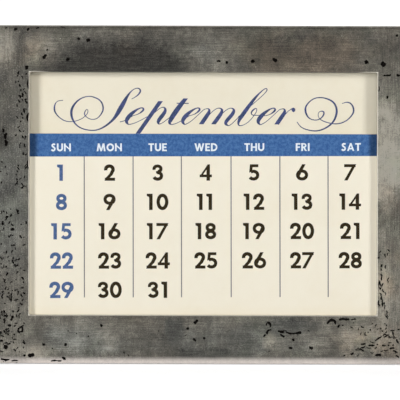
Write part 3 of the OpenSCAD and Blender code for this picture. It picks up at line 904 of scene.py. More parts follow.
# %% Crisp rims round the holes
finish_of, corners_of = (np.zeros(len(mesh.polygons), np.int32) for _ in range(2))
mesh.polygons.foreach_get("material_index", finish_of)
mesh.polygons.foreach_get("loop_total", corners_of)
edge_of = np.zeros(len(mesh.loops), np.int32)
mesh.loops.foreach_get("edge_index", edge_of)
lowest, highest = np.full(len(mesh.edges), 9), np.zeros(len(mesh.edges), int)
np.minimum.at(lowest, edge_of, np.repeat(finish_of, corners_of))
np.maximum.at(highest, edge_of, np.repeat(finish_of, corners_of))
crisp = np.zeros(len(mesh.edges), bool)
mesh.edges.foreach_get("use_edge_sharp", crisp)
mesh.edges.foreach_set("use_edge_sharp", crisp | (lowest != highest))
print("rim edges:", int((lowest != highest).sum()))
fit(casting, "housing", "cast_metal", "frame")

# %% [markdown]
# ## The cards' paper
#
# A card is plain board: its solid is already the right shape, so it stays, and only its finish is
# made. The date cards are a light cream. The month cards are the same board, a little more
# yellowed where they have stood in the light. The colour drifts slowly, fibres show as fine
# flecks, and the surface has a faint tooth.

# %% Card finish
def card_finish(name, colour, shade):
    """Uncoated card: its colour, and the darker, yellower colour that it drifts to, most of all
    within 4.5 mm above the foot of the window."""
    paper = Finish(name)
    x, y, z = paper.face_place()
    at = paper.join(x, y * 3.0, z)
    drift = paper.noise(at, 0.045, 3.0, 0.55)
    blotch = paper.noise(at, 0.35, 3.0, 0.6)
    pulp = paper.noise(at, 3.2, 3.0, 0.7)
    age = (drift * 0.6 + blotch * 0.25 + pulp * 0.25).rise(0.42, 0.78)
    # Darker and yellower towards the foot of the window
    foot = z.rise(WINDOW_LOW + 4.5, WINDOW_LOW)
    tone = paper.mix(age * 0.5 + foot * 0.45, colour, shade)
    fibre_way = paper.join(x * 2.2, y, z * 9.0 + drift * 20.0)
    fibres = paper.noise(fibre_way, 1.0, 2.0, 0.5).rise(0.66, 0.78)
    tone = paper.mix(fibres * 0.05, tone, (0.45, 0.33, 0.20))
    flecks = paper.dots(at, 0.9)
    tone = paper.mix(flecks.rise(0.055, 0.02) * 0.16, tone, (0.35, 0.24, 0.13))
    normal = paper.bump(pulp * 0.7 + fibres * 0.3, 0.00003, 0.35)
    paper.set(Base_Color=tone, Roughness=0.80 + (pulp - 0.5) * 0.2, Normal=normal)
    paper.set(Specular_IOR_Level=0.12)
    return paper


DATE_PAPER = card_finish("date_card_paper", (0.90, 0.845, 0.705), (0.86, 0.785, 0.62))
MONTH_PAPER = card_finish("month_card_paper", (0.84, 0.785, 0.64), (0.78, 0.70, 0.53))
for name, node in frame["nodes"].items():
    if name.startswith(("date_card", "month_card")):
        node.data.materials.clear()
        node.data.materials.append((DATE_PAPER if "date" in name else MONTH_PAPER).material)
print("paper on", sum("_card_" in n for n in frame["nodes"]), "cards")

# %% [markdown]
# ## Printing
#
# Ink lies on a card as a film. An image laid over the card would blur when it is looked at from
# near. Here each print is a very thin closed slab, a hundredth of a millimetre proud of the card,
# with its underside sunk into the board, so it reads sharp from any distance and rides on its
# card. Letters are drawn as a pen would: a stroke is a smooth line with a width at every point,
# opened out into a ribbon. All the strokes of a card's side go into one flat triangulation, which
# merges whatever overlaps.

# %% Strokes into ribbons
def smooth_line(points, steps=5):
    """The curve of least bending through rows of numbers. Its bend at each point is found from
    the tridiagonal equations of a natural cubic spline, whose steps are the distances between
    the points to the power 0.8; between two points the bend changes evenly, and the curve is
    the straight line between them plus the cubic that such a bend makes."""
    p = np.asarray(points, float)
    h = np.linalg.norm(np.diff(p[:, :2], axis=0), axis=1)[:, None] ** 0.8 + 1e-6
    slopes = np.diff(p, axis=0) / h
    inner = np.arange(1, len(p) - 1)
    equations = np.eye(len(p))
    equations[inner, inner - 1], equations[inner, inner + 1] = h[:-1, 0], h[1:, 0]
    equations[inner, inner] = 2 * (h[:-1, 0] + h[1:, 0])
    bend = np.zeros_like(p)
    bend[1:-1] = 6 * np.diff(slopes, axis=0)
    bend = np.linalg.solve(equations, bend)[:, None]
    t = (np.arange(steps) / steps)[None, :, None]
    a, b, h = p[:-1, None], p[1:, None], h[:, None]
    line = a * (1 - t) + b * t
    line = line + h ** 2 / 6 * (((1 - t) ** 3 - 1 + t) * bend[:-1] + (t ** 3 - t) * bend[1:])
    return np.concatenate([line.reshape(-1, p.shape[1]), p[-1:]])


def ribbon(line, width, level=(False, False)):
    """The quads of a stroke: each point of the line, moved half the width to either side, square
    to the way the line runs there. A level end is cut along the baseline instead."""
    line, width = np.asarray(line, float), np.broadcast_to(width, len(line))
    way = np.gradient(line, axis=0)
    way /= np.linalg.norm(way, axis=1, keepdims=True) + 1e-12
    side = np.stack([-way[:, 1], way[:, 0]], 1) * 0.5 * width[:, None]
    for end, flat in zip((0, -1), level):
        if flat:
            side[end] = [-0.5 * width[end] / max(abs(way[end, 1]), 0.3) * np.sign(way[end, 1]), 0]
    left, right = line + side, line - side
    return np.stack([left[:-1], right[:-1], right[1:], left[1:]], 1)


def arc(x, z, reach_x, reach_z, start, stop, steps):
    """Points of an ellipse: its middle, plus the reaches times cosine and sine of the angle."""
    a = np.radians(np.linspace(start, stop, steps))
    return np.stack([x + reach_x * np.cos(a), z + reach_z * np.sin(a)], 1)


print("a smooth line through 4 points has", len(smooth_line(np.eye(4))), "points")

# %% [markdown]
# The figures are a bold geometric letter: even strokes, round bowls, straight diagonals. A font
# file would have to travel with the script, and so few shapes are quickly drawn. Each is drawn one
# unit high, as a list of ribbons and four-cornered patches, with its width. The weekday names use
# capitals of the same kind.

# %% Figures
def bar(x0, z0, x1, z1):
    """A rectangle between two opposite corners."""
    return np.array([[[x0, z0], [x1, z0], [x1, z1], [x0, z1]]], float)


def patch(*corners):
    """A piece with four corners, in their order round it."""
    return np.array([corners], float)


SIX = [ribbon(arc(0.375, 0.335, 0.285, 0.25, 0, 360, 25), 0.175),
       patch((0.012, 0.36), (0.30, 0.44), (0.585, 1.0), (0.37, 1.0)),
       patch((0.012, 0.30), (0.20, 0.25), (0.30, 0.44), (0.012, 0.40))]
FIGURES = {
    "0": (0.74, [ribbon(arc(0.37, 0.5, 0.27, 0.415, 0, 360, 29), 0.185)]),
    "1": (0.34, [bar(0.145, 0.0, 0.34, 1.0), patch((0.0, 0.88), (0.15, 0.80), (0.15, 1.0), (0, 1))]),
    "2": (0.67, [ribbon(np.concatenate([arc(0.325, 0.70, 0.235, 0.215, 192, -28, 15),
                                        [(0.42, 0.39), (0.13, 0.07)]]), 0.19),
                 bar(0.05, 0.0, 0.67, 0.165), patch((0.02, 0), (0.2, 0), (0.26, 0.16), (0.11, 0.10))]),
    "3": (0.68, [ribbon(arc(0.33, 0.735, 0.222, 0.18, 196, -78, 15), 0.17),
                 ribbon(arc(0.335, 0.295, 0.25, 0.21, 96, -158, 15), 0.18),
                 bar(0.25, 0.465, 0.42, 0.575)]),
    "4": (0.74, [patch((0.0, 0.29), (0.155, 0.29), (0.62, 1.0), (0.49, 1.0)),
                 bar(0.0, 0.215, 0.74, 0.36), bar(0.425, 0.0, 0.62, 0.92),
                 patch((0.425, 0.80), (0.62, 0.80), (0.62, 1.0), (0.49, 1.0))]),
    "5": (0.67, [bar(0.10, 0.845, 0.60, 1.0), patch((0.05, 0.50), (0.20, 0.56), (0.27, 1), (0.10, 1)),
                 ribbon(arc(0.305, 0.33, 0.27, 0.245, 128, -146, 17), 0.175)]),
    "6": (0.75, SIX),
    "7": (0.74, [bar(0.0, 0.84, 0.70, 1.0), patch((0.0, 0), (0.215, 0), (0.745, 1.0), (0.50, 0.90))]),
    "8": (0.68, [ribbon(arc(0.34, 0.73, 0.222, 0.185, 0, 360, 23), 0.175),
                 ribbon(arc(0.34, 0.285, 0.25, 0.20, 0, 360, 25), 0.175)]),
    "9": (0.75, [(0.75, 1.0) - part for part in SIX]),
}
print("figures:", len(FIGURES))

# %% Capitals for the weekday names
CAPS = {
    "A": (0.92, [patch((0, 0), (0.22, 0), (0.56, 1), (0.36, 1)), bar(0.2, 0.2, 0.72, 0.37),
                 patch((0.92, 0), (0.70, 0), (0.36, 1), (0.56, 1))]),
    "D": (0.84, [bar(0, 0, 0.22, 1), ribbon(np.concatenate([
        [(0.05, 0.91)], arc(0.33, 0.5, 0.40, 0.41, 90, -90, 15), [(0.05, 0.09)]]), 0.2)]),
    "E": (0.60, [bar(0, 0, 0.22, 1), bar(0, 0, 0.6, 0.19), bar(0, 0.41, 0.54, 0.59),
                 bar(0, 0.81, 0.6, 1)]),
    "F": (0.58, [bar(0, 0, 0.22, 1), bar(0, 0.40, 0.52, 0.58), bar(0, 0.81, 0.58, 1)]),
    "H": (0.80, [bar(0, 0, 0.22, 1), bar(0.58, 0, 0.8, 1), bar(0, 0.41, 0.8, 0.59)]),
    "I": (0.22, [bar(0, 0, 0.22, 1)]),
    "M": (1.14, [patch((0, 0), (0.21, 0), (0.36, 1), (0.15, 1)),
                 patch((0.47, 0.0), (0.67, 0.0), (0.38, 1), (0.15, 1)),
                 patch((1.14, 0), (0.93, 0), (0.78, 1), (0.99, 1)),
                 patch((0.67, 0.0), (0.47, 0.0), (0.76, 1), (0.99, 1))]),
    "N": (0.88, [bar(0, 0, 0.21, 1), bar(0.67, 0, 0.88, 1),
                 patch((0.0, 1), (0.0, 0.78), (0.88, 0.0), (0.88, 0.22))]),
    "O": (0.96, [ribbon(arc(0.48, 0.5, 0.375, 0.40, 0, 360, 25), 0.22)]),
    "R": (0.72, [bar(0, 0, 0.22, 1), ribbon(np.concatenate([
        [(0.05, 0.91)], arc(0.33, 0.695, 0.24, 0.215, 90, -90, 11), [(0.05, 0.48)]]), 0.19),
        patch((0.20, 0.48), (0.42, 0.48), (0.74, 0), (0.48, 0))]),
    "S": (0.62, [ribbon(smooth_line([(0.52, 0.83), (0.40, 0.91), (0.25, 0.89), (0.16, 0.75),
                                     (0.24, 0.60), (0.41, 0.48), (0.49, 0.28), (0.37, 0.11),
                                     (0.20, 0.10), (0.06, 0.22)], 3), 0.21)]),
    "T": (0.70, [bar(0, 0.81, 0.70, 1), bar(0.24, 0, 0.46, 1)]),
    "U": (0.80, [ribbon(np.concatenate([[(0.11, 1), (0.11, 0.6)], arc(0.4, 0.38, 0.29, 0.28, 180,
                                        360, 13), [(0.69, 0.6), (0.69, 1)]]), 0.22)]),
    "W": (1.26, [patch((0.0, 1), (0.22, 1), (0.48, 0), (0.28, 0)),
                 patch((0.28, 0), (0.48, 0), (0.73, 1), (0.53, 1)),
                 patch((0.53, 1), (0.73, 1), (0.98, 0), (0.78, 0)),
                 patch((0.78, 0), (0.98, 0), (1.26, 1), (1.04, 1))]),
}
print("capitals:", len(CAPS))

# %% [markdown]
# A word is its letters side by side: each is moved by the widths and the spaces of those before
# it, and at the end the whole word is moved back by half its length, so that it is centred.

# %% Setting a word
def set_word(letters, word, middle, base, height, gap, grow, room=None):
    """The quads of a word, centred on the middle, with its foot on the base. gap is the space
    between two letters, and room gives a letter its own on its left and right. Every quad is
    grown a little, outwards from its own middle, because ink spreads."""
    room = room or {}
    pen, quads = 0.0, []
    for letter in word:
        width, parts = letters[letter]
        before, after = room.get(letter, (gap / 2, gap / 2))
        quads += [part + (pen + before, 0.0) for part in parts]
        pen += before + width + after
    quads = np.concatenate(quads)
    quads = quads + grow * np.sign(quads - quads.mean(1, keepdims=True))
    return (quads - (pen / 2, 0.0)) * height + (middle, base)


print("SUN takes", len(set_word(CAPS, "SUN", 0, 0, 1, 0, 0)), "quads")

# %% [markdown]
# The months are written with a broad copperplate pen: thick downstrokes, hair-fine upstrokes, a
# strong slope, and flourishes at either end. Letters are kept upright and one unit high at the
# body, and are sloped when they are set. Each ends on the baseline, where a joining hair leads it
# into the next letter; where the hair arrives depends on how the next letter starts.

# %% Strokes that several letters share
# A stroke is a list of x, height and width
STEM = 0.21
LOOP = [(-0.20, 0.44, 0.04), (0.09, 1.09, 0.04), (0.27, 1.48, 0.04), (0.43, 1.88, 0.05),
        (0.43, 2.14, 0.06), (0.31, 2.21, 0.06), (0.15, 2.02, 0.07), (0.04, 1.6, 0.14)]
OVER = [(-0.45, 0.90, 0.05), (-0.24, 0.96, 0.06), (-0.05, 0.81, 0.15), (0.0, 0.52, STEM),
        (0.0, 0.0, STEM)]
LAST_ARCH = [(0.11, 0.48, 0.05), (0.14, 0.72, 0.05), (0.32, 0.97, 0.05), (0.47, 0.99, 0.06),
             (0.70, 0.85, 0.15), (0.75, 0.52, 0.20), (0.72, 0.08, 0.17), (1.02, -0.09, 0.06)]
HOOK = [(0.0, 1.02, STEM), (0.0, 0.22, STEM), (0.05, 0.07, 0.15), (0.23, -0.03, 0.06)]
BOWL = [(0.72, 0.80, 0.05), (0.55, 1.0, 0.06), (0.34, 0.98, 0.07), (0.12, 0.72, 0.15),
        (0.04, 0.38, STEM), (0.12, 0.08, 0.15), (0.32, -0.03, 0.06), (0.56, 0.22, 0.05),
        (0.72, 0.62, 0.05)]
TAIL = [(0.75, 1.02, STEM), (0.73, 0.0, STEM), (0.68, -0.75, 0.16), (0.46, -1.22, 0.07),
        (0.24, -1.08, 0.05), (0.36, -0.62, 0.04), (0.85, -0.12, 0.05)]
SWEEP_UP = [(0.0, 1.0, STEM), (0.0, 0.30, 0.20), (0.08, 0.03, 0.12), (0.27, -0.03, 0.06),
            (0.52, 0.2, 0.05), (0.72, 0.62, 0.05)]


def moved(stroke, x):
    """The same stroke, further right."""
    return [(a + x, b, c) for a, b, c in stroke]


print("points of the loop, the bowl and the tail:", len(LOOP), len(BOWL), len(TAIL))

# %% Small letters
# Each letter: how far it moves the pen, how it is joined to, and its strokes
SCRIPT = {
    "a": (1.42, "round", [BOWL, moved(HOOK, 0.75)]),
    "b": (1.13, "stem", [LOOP + [(0.0, 1.04, 0.2), (-0.02, 0.51, STEM), (0.02, 0.18, 0.15),
                                 (0.22, -0.07, 0.07), (0.46, -0.04, 0.05), (0.64, 0.16, 0.04),
                                 (0.71, 0.48, 0.05), (0.68, 0.83, 0.05), (0.53, 0.98, 0.06),
                                 (0.42, 0.85, 0.09), (0.47, 0.66, 0.07), (0.66, 0.56, 0.06)]]),
    "c": (1.02, "round", [[(0.60, 0.80, 0.17), (0.62, 0.88, 0.12), (0.48, 1.01, 0.06),
                           (0.30, 0.97, 0.07), (0.09, 0.7, 0.16), (0.04, 0.36, STEM),
                           (0.14, 0.06, 0.14), (0.38, -0.03, 0.06)]]),
    "e": (1.35, "e", [[(0.28, 0.53, 0.05), (0.54, 0.64, 0.06), (0.65, 0.89, 0.11),
                       (0.47, 1.0, 0.07), (0.2, 0.82, 0.13), (0.05, 0.48, 0.22),
                       (0.08, 0.2, 0.19), (0.36, -0.03, 0.07)]]),
    "g": (1.30, "round", [BOWL, TAIL]),
    "h": (1.46, "stem", [LOOP + [(0.0, 1.04, 0.2), (0.0, 0.0, STEM)], LAST_ARCH]),
    "i": (0.66, "stem", [HOOK, [(-0.02, 1.40, 0.19), (0.05, 1.52, 0.19)]]),
    "l": (0.62, "stem", [LOOP + [(0.0, 1.04, 0.2), (-0.02, 0.4, STEM), (0.06, 0.07, 0.15),
                                 (0.24, -0.03, 0.06)]]),
    "m": (2.18, "over", [OVER, [(0.11, 0.48, 0.05), (0.14, 0.72, 0.05), (0.32, 0.97, 0.05),
                                (0.46, 0.99, 0.06), (0.71, 0.85, 0.15), (0.78, 0.40, STEM),
                                (0.76, 0.0, STEM)], moved(LAST_ARCH, 0.74)]),
    "n": (1.44, "over", [OVER, LAST_ARCH]),
    "o": (1.12, "round", [[(0.44, 1.0, 0.06), (0.16, 0.82, 0.13), (0.04, 0.42, STEM),
                           (0.12, 0.07, 0.15), (0.34, -0.03, 0.07), (0.62, 0.2, 0.09),
                           (0.72, 0.58, 0.11), (0.62, 0.90, 0.08), (0.44, 1.0, 0.06),
                           (0.40, 0.84, 0.05), (0.60, 0.70, 0.05)]]),
    "p": (1.43, "stem", [[(0.0, 1.42, STEM), (-0.03, -0.60, STEM)],
                         [(0.12, 0.70, 0.05), (0.27, 0.98, 0.05), (0.41, 1.04, 0.06),
                          (0.66, 0.88, 0.15), (0.72, 0.59, 0.20), (0.72, 0.16, 0.18),
                          (0.87, -0.01, 0.07)]]),
    "r": (0.98, "over", [OVER, [(0.10, 0.51, 0.05), (0.14, 0.76, 0.05), (0.25, 0.93, 0.06),
                                (0.37, 0.95, 0.16), (0.44, 0.87, 0.20), (0.43, 0.80, 0.12)],
                         [(0.0, 0.10, 0.10), (0.16, -0.02, 0.05)]]),
    "s": (0.92, "stem", [[(-0.2, 0.44, 0.04), (0.22, 1.08, 0.05), (0.26, 0.9, 0.08),
                          (0.42, 0.45, 0.20), (0.32, 0.06, 0.15), (0.10, -0.04, 0.08),
                          (0.02, 0.1, 0.12)], [(0.12, -0.04, 0.06), (0.3, -0.03, 0.05)]]),
    "t": (0.69, "stem", [[(0.0, 1.59, 0.2), (-0.01, 0.2, STEM), (0.05, 0.07, 0.15),
                          (0.23, -0.03, 0.06)], [(-0.35, 1.29, 0.06), (0.40, 1.28, 0.06)]]),
    "u": (1.42, "stem", [SWEEP_UP, moved(HOOK, 0.75)]),
    "v": (1.20, "over", [[(-0.45, 0.90, 0.05), (-0.22, 0.97, 0.08), (-0.02, 0.8, 0.18),
                          (0.1, 0.3, 0.20), (0.24, -0.01, 0.11), (0.52, 0.2, 0.05),
                          (0.68, 0.68, 0.06), (0.60, 0.97, 0.09), (0.62, 0.78, 0.06),
                          (0.78, 0.70, 0.05)]]),
    "y": (1.30, "stem", [SWEEP_UP, TAIL]),
}

# Where the joining hair arrives, counted from where the next letter's pen stands
ARRIVES = {"over": (-0.45, 0.90), "stem": (-0.16, 0.46), "e": (0.28, 0.53), "round": (0.0, 0.40)}
print("small letters:", len(SCRIPT))

# %% Flourishes
# The flourish that every capital starts with, the stem that often follows it, and the flourish
# that ends every name
SWIRL = [(0.0, 1.45, 0.04), (-0.32, 1.37, 0.05), (-0.23, 1.0, 0.09), (0.21, 0.57, 0.07),
         (0.91, 0.21, 0.06), (1.45, 0.14, 0.05), (1.88, 0.29, 0.05), (2.02, 0.49, 0.05),
         (2.01, 0.75, 0.05), (1.84, 0.89, 0.05), (1.84, 0.71, 0.07), (2.09, 0.46, 0.06),
         (2.47, 0.30, 0.05), (2.85, 0.35, 0.06), (2.91, 0.71, 0.08), (2.82, 0.94, 0.09),
         (2.34, 1.41, 0.08), (1.73, 1.66, 0.07), (1.42, 1.70, 0.06), (0.99, 1.53, 0.08),
         (0.87, 1.09, 0.12), (0.99, 0.75, 0.14), (1.40, 0.27, 0.11), (2.06, -0.17, 0.08),
         (2.81, -0.38, 0.07), (3.41, -0.34, 0.08), (3.74, -0.06, 0.11)]
RISE = [(3.90, 0.33, 0.15), (3.90, 0.69, 0.22), (3.86, 1.34, 0.22)]
FAREWELL = [(0.0, 0.16, 0.05), (0.50, -0.17, 0.06), (1.13, -0.36, 0.07), (1.68, -0.38, 0.08),
            (2.05, -0.19, 0.09), (2.22, 0.13, 0.10), (2.12, 0.60, 0.12), (1.98, 0.85, 0.12),
            (1.45, 1.35, 0.10), (0.83, 1.60, 0.08), (0.49, 1.66, 0.07), (0.02, 1.55, 0.07),
            (-0.10, 1.15, 0.09), (0.03, 0.88, 0.11), (0.48, 0.46, 0.08), (0.96, 0.28, 0.06),
            (1.28, 0.34, 0.07), (1.34, 0.60, 0.09), (1.12, 0.82, 0.07), (0.96, 0.77, 0.04),
            (1.07, 0.52, 0.04), (1.54, 0.23, 0.06), (2.11, 0.08, 0.06), (2.65, 0.06, 0.07),
            (3.01, 0.27, 0.07), (3.09, 0.69, 0.09), (2.97, 0.93, 0.10), (2.51, 1.31, 0.08),
            (2.18, 1.37, 0.06), (2.01, 1.29, 0.03)]
print("points of the flourishes:", len(SWIRL), len(FAREWELL))

# %% Capital letters
# No hair is joined to a capital
CAPITALS = {
    "S": (4.69, None, [SWIRL + RISE[:2] + [(3.83, 1.34, 0.22), (3.79, 1.69, 0.14),
                       (3.86, 2.10, 0.06), (4.05, 2.21, 0.06), (4.36, 2.05, 0.10),
                       (4.39, 1.80, 0.08), (4.17, 1.54, 0.04)]]),
    "J": (4.75, None, [SWIRL + RISE + [(3.80, 2.05, 0.18)],
                       [(3.05, 1.72, 0.05), (3.12, 2.0, 0.07), (3.5, 2.15, 0.09),
                        (4.0, 2.06, 0.10), (4.35, 2.2, 0.06)]]),
    "F": (4.70, None, [SWIRL + RISE + [(3.82, 1.95, 0.16)],
                       [(3.0, 1.72, 0.05), (3.1, 2.0, 0.08), (3.6, 2.16, 0.12),
                        (4.2, 2.04, 0.14), (4.8, 2.28, 0.05)],
                       [(3.55, 1.12, 0.05), (4.0, 1.2, 0.07), (4.4, 1.1, 0.09),
                        (4.42, 1.3, 0.05)]]),
    "M": (6.35, None, [SWIRL + [(3.92, 0.5, 0.07), (4.05, 1.3, 0.06), (4.12, 2.1, 0.06)],
                       [(4.12, 2.1, 0.10), (4.35, 1.3, 0.22), (4.62, 0.0, 0.20)],
                       [(4.62, 0.0, 0.05), (5.0, 1.1, 0.05), (5.32, 2.12, 0.06)],
                       [(5.32, 2.12, 0.12), (5.45, 1.2, 0.23), (5.52, 0.3, 0.2),
                        (5.62, 0.03, 0.12), (5.86, 0.0, 0.05), (6.2, 0.42, 0.04)]]),
    "A": (5.75, None, [SWIRL + [(3.95, 0.5, 0.08), (4.2, 1.3, 0.06), (4.48, 2.18, 0.06)],
                       [(4.48, 2.18, 0.10), (4.66, 1.3, 0.23), (4.86, 0.3, 0.22),
                        (5.0, 0.03, 0.13), (5.24, 0.0, 0.05), (5.6, 0.42, 0.04)],
                       [(3.75, 0.82, 0.05), (4.3, 0.92, 0.07), (4.95, 0.8, 0.05)]]),
    "O": (5.45, None, [SWIRL + [(3.92, 0.5, 0.2), (3.84, 1.2, 0.24), (3.98, 1.85, 0.14),
                       (4.4, 2.15, 0.07), (4.85, 1.75, 0.10), (4.95, 1.1, 0.13),
                       (4.7, 0.4, 0.10), (4.25, 0.02, 0.06), (3.95, 0.12, 0.05)]]),
    "N": (5.45, None, [SWIRL + [(3.92, 0.5, 0.07), (4.02, 1.3, 0.06), (4.10, 2.1, 0.06)],
                       [(4.10, 2.1, 0.10), (4.45, 1.2, 0.23), (4.88, 0.0, 0.14)],
                       [(4.88, 0.0, 0.05), (4.98, 1.1, 0.05), (5.12, 2.0, 0.06),
                        (5.35, 2.2, 0.08), (5.5, 2.05, 0.05)]]),
    "D": (5.45, None, [SWIRL + RISE + [(3.80, 2.0, 0.14)],
                       [(3.1, 1.55, 0.05), (3.15, 1.95, 0.07), (3.7, 2.2, 0.08),
                        (4.5, 2.0, 0.12), (4.98, 1.3, 0.22), (4.8, 0.5, 0.16),
                        (4.3, 0.05, 0.08), (3.8, -0.02, 0.05), (3.5, 0.16, 0.04)]]),
}
print("capital letters:", len(CAPITALS))

# %% [markdown]
# A name is written from left to right. The pen stands at the start of each letter in turn, a hair
# joins the letter to the one before it, and the last flourish leads out of the name.

# %% Writing a name
SLOPE, HAIR, THICK = 0.68, 0.042, 0.17


def stroke_quads(stroke, pen):
    """One pen stroke, smoothed, sloped and opened into a ribbon: a point's x is the pen's place,
    plus the letter's x, plus the slope times its height. The widths spread a little and are
    never under a hair's. Thick stems end level."""
    line = smooth_line(stroke, 6)
    x = line[:, 0] + pen + SLOPE * line[:, 1]
    width = np.maximum(line[:, 2] * 1.2 - 0.016, HAIR)
    level = [line[end, 2] > THICK and abs(line[end, 1]) < 2.0 for end in (0, -1)]
    return ribbon(np.stack([x, line[:, 1]], 1), width, level)


def write_name(name, base, size):
    """The quads of a month's name with its flourishes, as if its start stood at 0. leave is
    where the letter before ends, so the hair to the next one starts there; it rises slowly at
    first and then faster."""
    pen, quads, leave = 0.0, [], None
    for n, letter in enumerate(name):
        step, start, strokes = (CAPITALS if n == 0 else SCRIPT)[letter]
        if n > 0:
            (x0, z0), (x1, z1) = leave, ARRIVES[start]
            x1 += pen
            hair = [(x0 + share * (x1 - x0), z0 + rise * (z1 - z0), thin) for share, rise, thin
                    in ((0, 0, 0.06), (0.3, 0.12, 0.05), (0.7, 0.55, 0.045), (1, 1, 0.045))]
            quads.append(stroke_quads(hair, 0.0))
        quads += [stroke_quads(stroke, pen) for stroke in strokes]
        last = strokes[0 if letter in "it" else -1][-1]
        leave = (pen + last[0], last[1]) if n > 0 else (pen + step - 0.28, 0.13)
        pen += step
    quads.append(stroke_quads(FAREWELL, pen + 0.17))
    return np.concatenate(quads) * size + (0.0, base)


print("May takes", len(write_name("May", 0.0, 1.0)), "quads")

# %% [markdown]
# ## Inks
#
# Six inks are used: a mid blue for the band, a greyer blue for the Sundays, a brown-black for the
# other figures, a thin grey for the rules, a cold white for the weekday names, and a navy that
# turns violet where it is thin for the months' names. Real ink on uncoated card is never even: it
# soaks in unevenly and lets the pulp show, so each ink's colour wavers from place to place.

# %% Ink finishes
def ink_finish(name, colour, thin, waver=0.5, ends=1.0):
    """An ink that wavers between its full colour and a thinner one. ends is how much of its
    brightness is left near the card's two ends, where the lip's shade is painted into the ink."""
    ink = Finish(name)
    x, y, z = ink.face_place()
    at = ink.join(x, y, z)
    soak = ink.noise(at, 0.85, 4.0, 0.75)
    pulp = ink.noise(at, 4.5, 2.0, 0.7)
    share = (soak * 0.65 + pulp * 0.35).rise(0.42, 0.60)
    tone = ink.mix(share * waver, colour, thin)
    # Painted shade: near the card's two ends the ink is darkened, as the lip's shadow
    painted_end_shade = abs(x).rise(59.6, 61.8) * (1.0 - ends)
    tone = ink.mix(painted_end_shade, tone, (0.0, 0.004, 0.02))
    ink.set(Base_Color=tone, Roughness=0.58 + (pulp - 0.5) * 0.3, Specular_IOR_Level=0.1)
    ink.set(Normal=ink.bump(pulp, 0.00002, 0.3))
    return ink


INKS = [
    # The band's ends are painted darker, as shade from the window's lip
    ink_finish("ink_blue", (0.035, 0.106, 0.290), (0.088, 0.200, 0.430), 0.85, ends=0.45),
    ink_finish("ink_brown_black", (0.022, 0.014, 0.0045), (0.038, 0.027, 0.012)),
    ink_finish("ink_sunday_blue", (0.056, 0.115, 0.245), (0.118, 0.165, 0.360), 0.7),
    ink_finish("ink_rule_grey", (0.17, 0.16, 0.18), (0.27, 0.25, 0.26)),
    ink_finish("ink_script_blue", (0.038, 0.061, 0.128), (0.086, 0.098, 0.270), 0.8),
    ink_finish("ink_white", (0.80, 0.86, 0.90), (0.70, 0.78, 0.86)),
]
BLUE, BROWN, SUNDAY, RULE, SCRIPT_BLUE, WHITE = range(6)
NO_INK = -1
print("inks:", [ink.material.name for ink in INKS])

# %% [markdown]
# ## Laying the film
#
# All the strokes of one side are cut into triangles and triangulated together, so every crossing
# becomes a corner. Each triangle of the result remembers which strokes it came from, and the last
# layer laid there decides its ink; a triangle that came from no stroke is bare card.

# %% Triangulating the strokes
SLIVER, SPILL = 2e-4, 1.001


def twice_area(triangles):
    """Twice the area of each triangle, from the cross product of two sides; negative where the
    corners run clockwise."""
    u, v = triangles[:, 1] - triangles[:, 0], triangles[:, 2] - triangles[:, 0]
    return u[:, 0] * v[:, 1] - u[:, 1] * v[:, 0]


def laid_together(corners):
    """Points, triangles and origins of overlapping triangles triangulated together. Where edges
    nearly meet, a stroke can spill over the whole card. Ink that covers more than all the
    strokes side by side shows that, and then another tolerance is tried."""
    places = list(map(Vector, corners.reshape(-1, 2).tolist()))
    triples = np.arange(len(places)).reshape(-1, 3).tolist()
    for tolerance in (1e-4, 2e-4, 5e-5, 2e-5, 1e-5):
        points, _, triangles, _, _, origins = delaunay_2d_cdt(places, [], triples, 0, tolerance)
        points, triangles = np.array(points), np.array(triangles)
        inked = np.array([len(origin) > 0 for origin in origins])
        covered = np.abs(twice_area(points[triangles[inked]])).sum()
        if covered <= twice_area(corners).sum() * SPILL:
            return points, triangles, origins
    raise ValueError("the ink of a print spilled over")


print("twice the area of half a square:", twice_area(np.array([[[0, 0], [1, 0], [0, 1]]]))[0])

# %% [markdown]
# The triangles are laid twice, as the film's top and its underside. An edge that belongs to only
# one triangle is on the film's outline, and there a thin wall joins the top to the underside.

# %% The film
FILM, SINK = 0.012, 0.02


